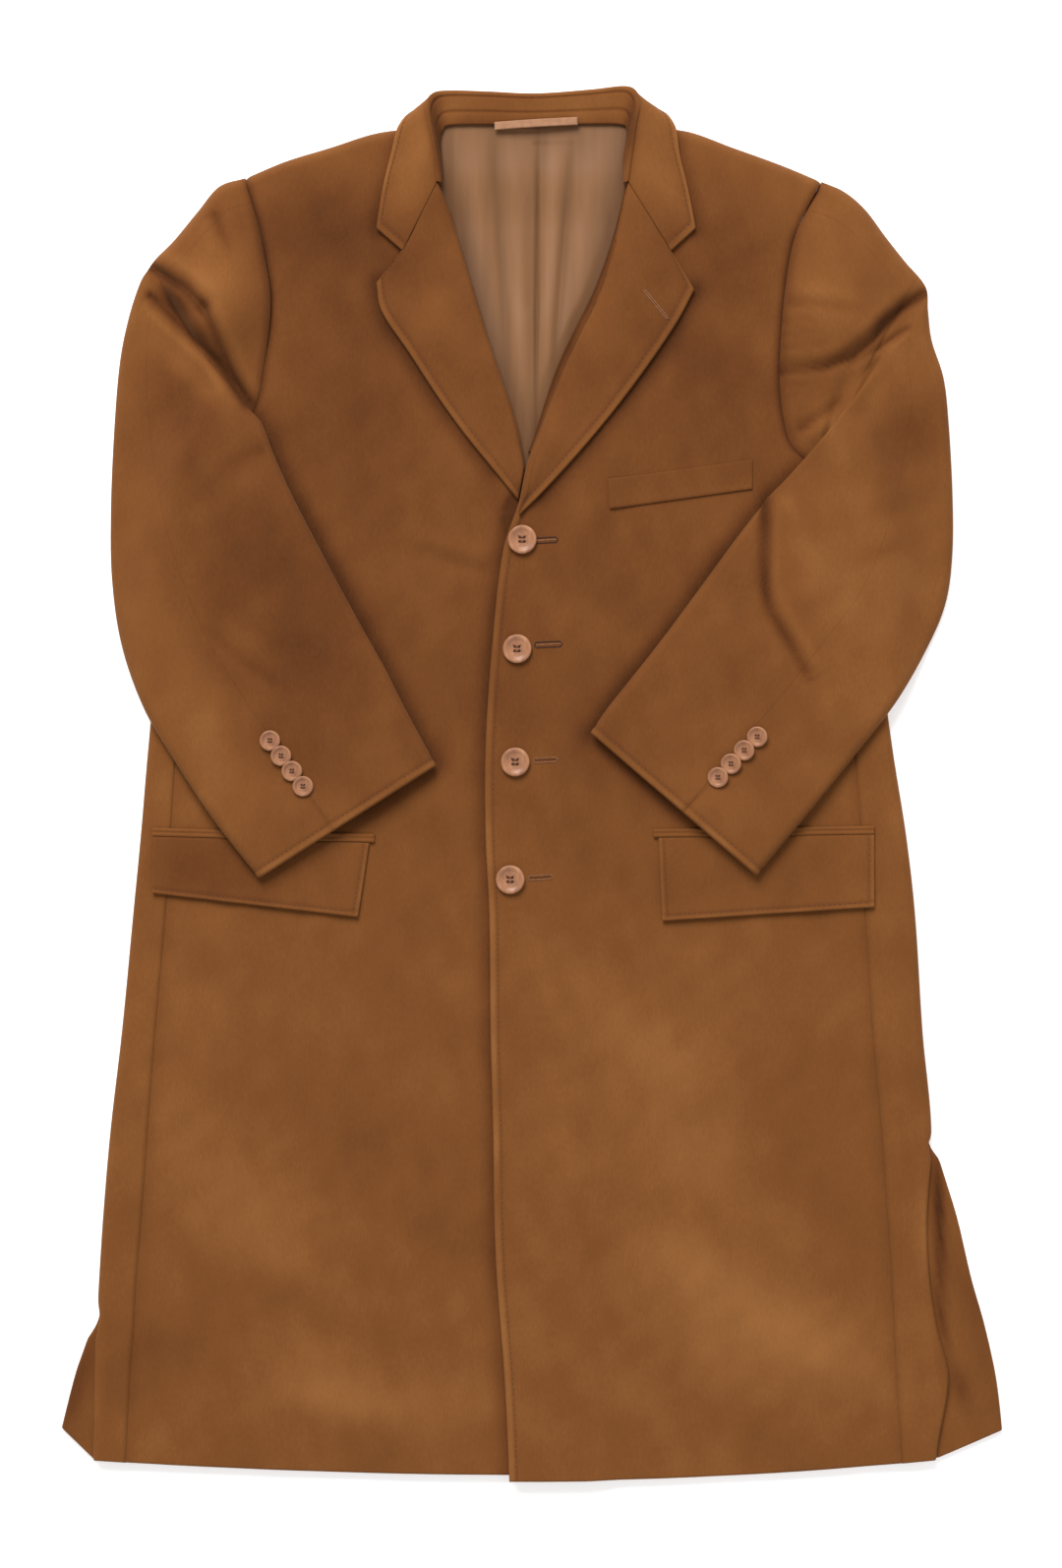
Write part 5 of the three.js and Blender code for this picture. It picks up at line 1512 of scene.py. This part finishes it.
def collar():
    """Stand, fold and leaf as one wall round the neck."""
    last = len(COLLAR) - 1
    inside = np.linspace(LAST_STRETCH["from"], last - LAST_STRETCH["from"], COLLAR_POINTS["row"] * last)
    near = np.linspace(0, LAST_STRETCH["close"], COLLAR_POINTS["end"])
    n = np.concatenate([near, inside, last - near[::-1]])
    row = smooth_rows(COLLAR, n, corners=(1, last - 1), cornered="edge")
    seam, crest, edge = (
        points(*(row[f"{part}_{axis}"] for axis in "xyz")) for part in ("seam", "fold", "edge")
    )
    half = COLLAR_WALL / 2
    radius = half + CLEAR
    into = np.zeros_like(crest)
    into[:, 0], into[:, 1] = NECK_CENTRE[0] - crest[:, 0], NECK_CENTRE[1] - crest[:, 1]
    into = unit(into)
    up = np.array([0, 0, 1.0])
    angle = np.radians(row["turn"])[:, None]
    point = into * np.cos(angle) + up * np.sin(angle)
    leaf = up * np.cos(angle) - into * np.sin(angle)
    centre = crest - point * radius
    turns = np.linspace(-math.pi / 2, math.pi / 2, COLLAR_POINTS["fold"])
    fold = np.stack([centre + (point * math.cos(k) + leaf * math.sin(k)) * radius for k in turns], axis=1)
    steps = COLLAR_POINTS["stand"]
    rise = np.linspace(0, 1, steps + 1)[:-1]
    stand = lerp(seam[:, None], fold[:, :1], rise[None, :, None])
    leaf_width = np.linalg.norm(edge - fold[:, -1], axis=1)
    near_fold = np.array([0, LEAF_STEPS["near_fold"]])
    share = shares(0, 1, leaf_width, LEAF_STEPS["between"], near_fold, EDGE_STEPS)[:, 1:]
    flat = lerp(fold[:, -1][:, None], edge[:, None], share[..., None])
    sag = (1 + LEAF_SAG["gain"] * smoothstep(row["turn"], LEAF_SAG["from"], LEAF_SAG["to"]))[:, None]
    z = edge[:, None, 2] + (fold[:, -1, 2] - edge[:, 2])[:, None] * (1 - share) ** sag
    lies = height_over("right_front", "left_front")(flat[..., 0], flat[..., 1])
    on_front = (row["turn"] < LEAF_ON_FRONT)[:, None] & ~np.isnan(lies)
    flat[..., 2] = np.where(on_front, np.maximum(z, lies + half + 2 * CLEAR), z)
    middle = np.concatenate([stand, fold, flat], axis=1)
    sunk = np.zeros(middle.shape[:2] + (1,))
    for line in STAND_LINES:
        away = (rise - line["share"]) / line["width"]
        sunk[:, :steps, 0] += line["depth"] * np.exp(-(away ** 2))
    edges = borders("seam", "turned", "gorge", "gorge")
    shade = -sunk[..., 0] * STAND_LINE_SHADE_A_MM
    shade[:, :steps] += STAND_FOOT_SHADE["tone"] * (1 - smoothstep(rise, 0, STAND_FOOT_SHADE["share"]))
    cloth("neck_collar", moved(middle, half - sunk), moved(middle, -half), edges, "collar", shade=shade)


collar()

# Flaps, their jets and the breast welt

PATCH = {"column_step": 3, "row_step": 2.5, "curl": 0.7, "shade_reach": 90}
FLAP_WAVE = {"height": 0.7, "length": 38, "seed": 41}
JET = {"width": 7, "rise": 1.1, "round": 0.6, "beyond": 4, "wall": 1.6}
JET_STEPS = np.array([0, 0.1, 0.3, 0.7, 1.3, 2, 2.8, 3.6, 4.4, 5.2, 5.8, 6.3, 6.7, 6.9, 7])

# How far round a point a laid piece looks for the highest spot under it
LAID_REACH = 2.5
on_body = height_over("right_front", "left_front", "right_side", "left_side")


def patch(row, edges):
    """A flat piece laid on the fronts, whose lower edge curls up a little."""
    step = PATCH["column_step"]
    across = shares(0, 1, abs(row["x1"] - row["x0"]), step, EDGE_STEPS, EDGE_STEPS)[0][None, :]
    down = shares(0, 1, abs(row["y3"] - row["y0"]), PATCH["row_step"], SEAM_STEPS, EDGE_STEPS)[0][:, None]
    x_low, y_low = (lerp(row[f"{axis}0"], row[f"{axis}1"], across) for axis in "xy")
    x_high, y_high = (lerp(row[f"{axis}3"], row[f"{axis}2"], across) for axis in "xy")
    x, y = lerp(x_high, x_low, down), lerp(y_high, y_low, down)
    curl = PATCH["curl"] * down ** 3
    if row["wall"] == FLAP_WALL:
        wave = 1 + undulation(x, y, FLAP_WAVE["length"], FLAP_WAVE["seed"])
        curl = curl + FLAP_WAVE["height"] * down ** 2 * wave
    grid = points(x, y, on_body(x, y, reach=LAID_REACH) + CLEAR + row["wall"] + curl)
    shade = row["shade"] * np.exp(-(((x - row["shade_x"]) / PATCH["shade_reach"]) ** 2))
    cloth(row["name"] + "_cloth", grid, lowered(grid, row["wall"]), edges, row["name"], shade=shade)


def jet(row, name):
    """The narrow double strip sewn along the top of a flap, a little longer than it at the inner end."""
    x3, x2 = row["x3"], row["x2"]
    if x3 > 0:
        x3 = x3 - JET["beyond"]
    else:
        x2 = x2 + JET["beyond"]
    across = shares(0, 1, abs(x2 - x3), PATCH["column_step"], SEAM_STEPS, SEAM_STEPS)[0][None, :]
    up = JET_STEPS[:, None] / JET["width"]
    x = lerp(x3, x2, across) + 0 * up
    y = lerp(row["y3"], row["y2"], across) + SEAM_GAP + up * JET["width"]
    ridge = JET["rise"] * (np.abs(np.sin(2 * math.pi * up)) ** JET["round"])
    grid = points(x, y, on_body(x, y, reach=LAID_REACH) + CLEAR + JET["wall"] + ridge)
    cloth(name, grid, lowered(grid, JET["wall"]), borders("plain", "plain", "plain", "plain"))


for row in PATCHES:
    if row["name"] == "welt_breast":
        patch(row, borders("plain", "plain", "seam", "seam"))
    else:
        patch(row, borders("plain" if row["x0"] < 0 else "narrow", "narrow", "seam", "narrow"))
        jet(row, row["name"].replace("flap", "jet") + "_cloth")

# The loop that the coat hangs by

LOOP = {
    "x": 4, "y": 522.5, "length": 66, "width": 6.4, "wall": 1.4, "arch": 1.8, "slope": 0.06,
    "columns": 90, "rows": 13,
}


def hanger_loop():
    surface = height_over("neck_collar")
    across = np.linspace(0, 1, LOOP["columns"])[None, :]
    up = np.linspace(0, 1, LOOP["rows"])[:, None]
    along = (across - 0.5) * LOOP["length"]
    x = LOOP["x"] + along + 0 * up
    y = LOOP["y"] + along * LOOP["slope"] + (up - 0.5) * LOOP["width"]
    lies = np.nanmax(surface(x, y), axis=0, keepdims=True)
    z = lies + CLEAR + LOOP["wall"] + LOOP["arch"] * np.sin(math.pi * across) + 0 * up
    grid = points(x, y, z)
    edges = borders("plain", "plain", "plain", "plain")
    cloth("loop_tape", grid, lowered(grid, LOOP["wall"]), edges, "hanger_loop", "tape", [tape_cloth])


hanger_loop()

# Stitches and buttonholes, as real thread

THREAD = {
    "radius": 0.27, "ends": 0.35, "sides": 5, "rings": 5, "length": 3, "pitch": 4.1, "arch": 0.3,
    "sunk": 0.1,
}
HOLE = {
    "radius": 0.75, "rings": 22, "sides": 6, "sunk": 0.1, "lips_sunk": 0.3, "before": 0.3, "after": 0.6,
    "fine": 5, "reach": 1,
}

# The whipping round a buttonhole's edge, as a share of its radius, and how far it turns from ring to ring
WHIPPING = {"depth": 0.14, "turn": 2.1}
# edges is the twist of the whipped edges. The dark twist stands partly for dark thread and partly for
# painted shadow beside the raised stitching.
BUTTONHOLES = table(
    "name x0 y0 x1 y1 apart edges lips",
    ("front_1", 2, 192, 20.5, 193, 4.2, "dark", 0.8),
    ("front_2", 3, 109.5, 24, 110.5, 4.2, "dark", 0.8),
    ("front_3", 2, 18, 20.5, 19, 3.4, "pale", 0.5),
    ("front_4", -2, -75, 16.5, -74, 3.4, "pale", 0.5),
    ("lapel", 89.7, 390, 108, 368, 1.6, "pale", 0),
)


def ring_faces(rings, sides):
    """The faces of a row of rings with as many points each as it has sides, closed at both ends."""
    faces = []
    for i in range(rings - 1):
        for k in range(sides):
            after = (k + 1) % sides
            faces.append([i * sides + k, i * sides + after, (i + 1) * sides + after, (i + 1) * sides + k])
    faces.append(list(range(sides))[::-1])
    faces.append(list(range((rings - 1) * sides, rings * sides)))
    return faces


def tube(line, radii, sides):
    """A closed tube along a line of points."""
    line = np.asarray(line, float)
    ahead = unit(np.gradient(line, axis=0))
    beside = unit(np.cross(ahead, [0, 0, 1.0]))
    above = np.cross(beside, ahead)
    angles = np.arange(sides) * 2 * math.pi / sides
    rings = line[:, None] + np.asarray(radii)[:, None, None] * (
        beside[:, None] * np.cos(angles)[None, :, None] + above[:, None] * np.sin(angles)[None, :, None]
    )
    return rings.reshape(-1, 3), ring_faces(len(line), sides)


def joined(parts):
    """Several meshes as one."""
    vertices, faces, first = [], [], 0
    for spots, sides in parts:
        vertices.append(spots)
        faces += [[first + k for k in face] for face in sides]
        first += len(spots)
    return np.concatenate(vertices), faces


def stitches(name, line):
    """A row of short arched stitches along a line."""
    along = np.concatenate([[0], np.cumsum(np.linalg.norm(np.diff(line, axis=0), axis=1))])
    rings = np.linspace(0, 1, THREAD["rings"])
    radii = THREAD["radius"] * (THREAD["ends"] + (1 - THREAD["ends"]) * np.sin(math.pi * rings))
    parts = []
    for start in np.arange(0, along[-1] - THREAD["length"], THREAD["pitch"]):
        spots = [np.interp(start + rings * THREAD["length"], along, line[:, k]) for k in range(3)]
        spots[2] = spots[2] - THREAD["sunk"] + THREAD["arch"] * np.sin(math.pi * rings)
        parts.append(tube(np.stack(spots, axis=-1), radii, THREAD["sides"]))
    if parts:
        new_object(name, *joined(parts), [thread_cloth], "wool")


def buttonhole(row, surface):
    """Two whipped edges side by side, joined at their ends, with the slit's lips between them."""
    start, end = np.array([row["x0"], row["y0"]]), np.array([row["x1"], row["y1"]])
    along = (end - start) / np.linalg.norm(end - start)
    beside = np.array([-along[1], along[0]])
    share = np.linspace(0, 1, HOLE["rings"] + 1)[1:-1]
    offset = row["apart"] / 2
    way = [start + (end - start) * s + beside * offset for s in share]
    back = [start + (end - start) * s - beside * offset for s in share[::-1]]
    corner = start - along * HOLE["before"]
    x, y = np.array([corner, *way, end + along * HOLE["after"], *back, corner]).T
    z = surface(x, y, reach=HOLE["reach"]) - HOLE["sunk"]
    fine = np.linspace(0, len(x) - 1, HOLE["fine"] * len(x))
    line = np.stack([np.interp(fine, np.arange(len(x)), values) for values in (x, y, z)], axis=-1)
    whips = WHIPPING["depth"] * np.sin(np.arange(len(line)) * WHIPPING["turn"])
    radii = HOLE["radius"] * (1 - WHIPPING["depth"] + whips)
    name = f"buttonhole_{row['name']}"
    new_object(name, *tube(line, radii, HOLE["sides"]), [twists[row["edges"]]], "wool")
    if row["lips"]:
        x, y = np.linspace(start + along, end, HOLE["rings"]).T
        lips = points(x, y, surface(x, y, reach=HOLE["reach"]) - HOLE["lips_sunk"])
        radii = np.full(len(lips), row["lips"])
        other = twists["pale" if row["edges"] == "dark" else "dark"]
        new_object(f"{name}_lips", *tube(lips, radii, HOLE["sides"]), [other], "wool")


for name, line in stitch_lines.items():
    if len(line) > 2:
        stitches(f"{name}_stitches", line)

faced = {"front": height_over("left_front"), "lapel": height_over("left_lapel")}
for row in BUTTONHOLES:
    buttonhole(row, faced[row["name"].split("_")[0]])

# Buttons

FRONT_BUTTON = {"radius": 11.5, "height": 3.6, "hole": 1.15, "apart": 2.4, "thread": 0.62}
CUFF_BUTTON = {"radius": 8.2, "height": 2.2, "hole": 0.8, "apart": 1.6, "thread": 0.42}
BUTTON_SHANK = 0.8
CUFF_BUTTON_TILT = math.radians(11.5)
SIDES = {"button": 48, "hole": 12, "thread": 6}
BUTTON_PROFILE = table(
    "radius height",
    (0.02, 0.02), (0.68, 0.02), (0.86, 0.16), (0.97, 0.38), (1, 0.55), (0.99, 0.76), (0.95, 0.93),
    (0.89, 1), (0.82, 0.99), (0.75, 0.93), (0.68, 0.8), (0.6, 0.68), (0.5, 0.62), (0.3, 0.6), (0.02, 0.6),
)


# The thread between two holes: where it leaves the dish, how high it arches and how fast it dives, and
# how many rings it has
SEWN = {"level": 0.6, "arch": 0.7, "dive": 1.6, "rings": 9}


def lathe(profile, radius, height, sides):
    """A closed turned shape from shares of a radius and a height."""
    angles = np.arange(sides) * 2 * math.pi / sides
    rings = [
        np.stack([
            p["radius"] * radius * np.cos(angles),
            p["radius"] * radius * np.sin(angles),
            np.full(sides, p["height"] * height),
        ], axis=-1)
        for p in profile
    ]
    return np.concatenate(rings), ring_faces(len(rings), sides)


def button_mesh(name, size):
    """A button with four holes, as a mesh that each button of its kind shares."""
    disc_mesh = lathe(BUTTON_PROFILE, size["radius"], size["height"], SIDES["button"])
    disc = new_object(name, *disc_mesh, [horn], "button")
    hole_profile = table("radius height", (1, -1), (1, 2))
    cutters = []
    for k in range(4):
        angle = math.pi / 4 + k * math.pi / 2
        vertices, faces = lathe(hole_profile, size["hole"], size["height"], SIDES["hole"])
        vertices = vertices + [size["apart"] * math.cos(angle), size["apart"] * math.sin(angle), 0]
        cutter = new_object(f"{name}_hole_{k}", vertices, faces, [horn], "button")
        cutters.append(cutter)
        cut = disc.modifiers.new("hole", "BOOLEAN")
        cut.operation = "DIFFERENCE"
        cut.solver = "EXACT"
        cut.object = cutter
    bpy.context.view_layer.update()
    shape = bpy.data.meshes.new_from_object(disc.evaluated_get(bpy.context.evaluated_depsgraph_get()))
    for one in [disc, *cutters]:
        del pieces[one.name]
        bpy.data.objects.remove(one)
    sew(shape, size)
    return shape


def sew(shape, size):
    """Adds the thread that runs through a button's holes."""
    share = np.linspace(-1, 1, SEWN["rings"])
    reach = size["apart"] / 2 ** 0.5
    radii = np.full(SEWN["rings"], size["thread"])
    bars = []
    for side in (-1, 1):
        z = size["height"] * SEWN["level"] + size["thread"] * (SEWN["arch"] - SEWN["dive"] * share ** 4)
        bars.append(tube(points(share * reach, side * reach, z), radii, SIDES["thread"]))
    vertices, faces = joined(bars)
    mesh = bmesh.new()
    mesh.from_mesh(shape)
    made = [mesh.verts.new(spot * MM) for spot in vertices]
    for face in faces:
        sewn = mesh.faces.new([made[k] for k in face])
        sewn.material_index = 1
        sewn.smooth = True
    mesh.to_mesh(shape)
    mesh.free()
    shape.materials.append(thread_cloth)


def place_button(name, node, shape, row, z, tilt=Matrix.Identity(4)):
    piece = placed(name, shape)
    piece.matrix_world = Matrix.Translation(Vector((row["x"], row["y"], z)) * MM) @ tilt
    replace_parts(ridden(piece), node)


front_disc = button_mesh("front_disc", FRONT_BUTTON)
cuff_disc = button_mesh("cuff_disc", CUFF_BUTTON)
chest = height_over("left_front", "right_front")
for n, row in enumerate(FRONT_BUTTONS, 1):
    z = float(chest(row["x"], row["y"])) + BUTTON_SHANK
    place_button(f"front_button_{n}", f"button_front_{n}", front_disc, row, z)

for side, rows in CUFF_BUTTONS.items():
    surface = height_over(f"{side}_top_sleeve", f"{side}_under_sleeve")
    along = unit(np.array([rows[-1]["x"] - rows[0]["x"], rows[-1]["y"] - rows[0]["y"]], float))
    tilt = Matrix.Rotation(CUFF_BUTTON_TILT, 4, Vector((-along[1], along[0], 0)))
    for n, row in enumerate(rows, 1):
        reach = np.array([-1, 0, 1]) * CUFF_BUTTON["radius"]
        high = np.nanmax(surface(row["x"] + along[0] * reach, row["y"] + along[1] * reach))
        z = high + CUFF_BUTTON["radius"] * math.sin(CUFF_BUTTON_TILT) + CLEAR
        place_button(f"{side}_cuff_button_{n}", f"button_cuff_{side}_{n}", cuff_disc, row, z, tilt)

# Floor, light and camera

FLOOR_HALF = 9000
FLOOR_DROP = 0.4
GLOW = 0.42
WHITE = (1, 1, 1, 1)

# The frame is FRAME_LENGTH long at the height of the cloth, where the photo's scale holds.
CAMERA_HEIGHT = 2800
CAMERA_Y = -0.4
SCALE_HEIGHT = 9
FRAME_LENGTH = 1243.3
SENSOR = 36


def stage_floor():
    material, tree, shader, place = new_material("pale_floor")
    tone = noise(tree, place, 2, detail=1)
    colour = ramp(tree, tone, (0, (0.97, 0.97, 0.97, 1)), (1, (0.99, 0.99, 0.99, 1)))
    tree.links.new(colour, shader.inputs["Base Color"])
    set_inputs(shader, {"Roughness": 1, "Specular IOR Level": 0})
    set_inputs(shader, {"Emission Color": WHITE, "Emission Strength": GLOW})
    corners = [(-1, -1), (1, -1), (1, 1), (-1, 1)]
    mesh = bpy.data.meshes.new("floor")
    spots = [(x * FLOOR_HALF * MM, y * FLOOR_HALF * MM, -FLOOR_DROP * MM) for x, y in corners]
    mesh.from_pydata(spots, [], [(0, 1, 2, 3)])
    mesh.materials.append(material)
    placed("floor", mesh)


def soft_light(name, x, y, z, width, power):
    lamp = bpy.data.lights.new(name, "AREA")
    lamp.shape = "SQUARE"
    lamp.size = width * MM
    lamp.energy = power
    light = placed(name, lamp)
    light.location = Vector((x, y, z)) * MM
    light.rotation_euler = (-light.location).to_track_quat("-Z", "Y").to_euler()


stage_floor()
soft_light("key", -900, 3200, 3200, width=2400, power=225)
soft_light("fill", 900, -1500, 3000, width=2400, power=16)
world = bpy.data.worlds.new("studio")
bpy.context.scene.world = world
world.use_nodes = True
set_inputs(world.node_tree.nodes["Background"], {"Color": WHITE, "Strength": GLOW})

camera_data = bpy.data.cameras.new("camera")
camera_data.sensor_width = SENSOR
camera_data.lens = SENSOR * (CAMERA_HEIGHT - SCALE_HEIGHT) / FRAME_LENGTH
camera = placed("camera", camera_data)
camera.location = Vector((0, CAMERA_Y, CAMERA_HEIGHT)) * MM
bpy.context.scene.camera = camera
bpy.context.scene.view_settings.view_transform = "Standard"
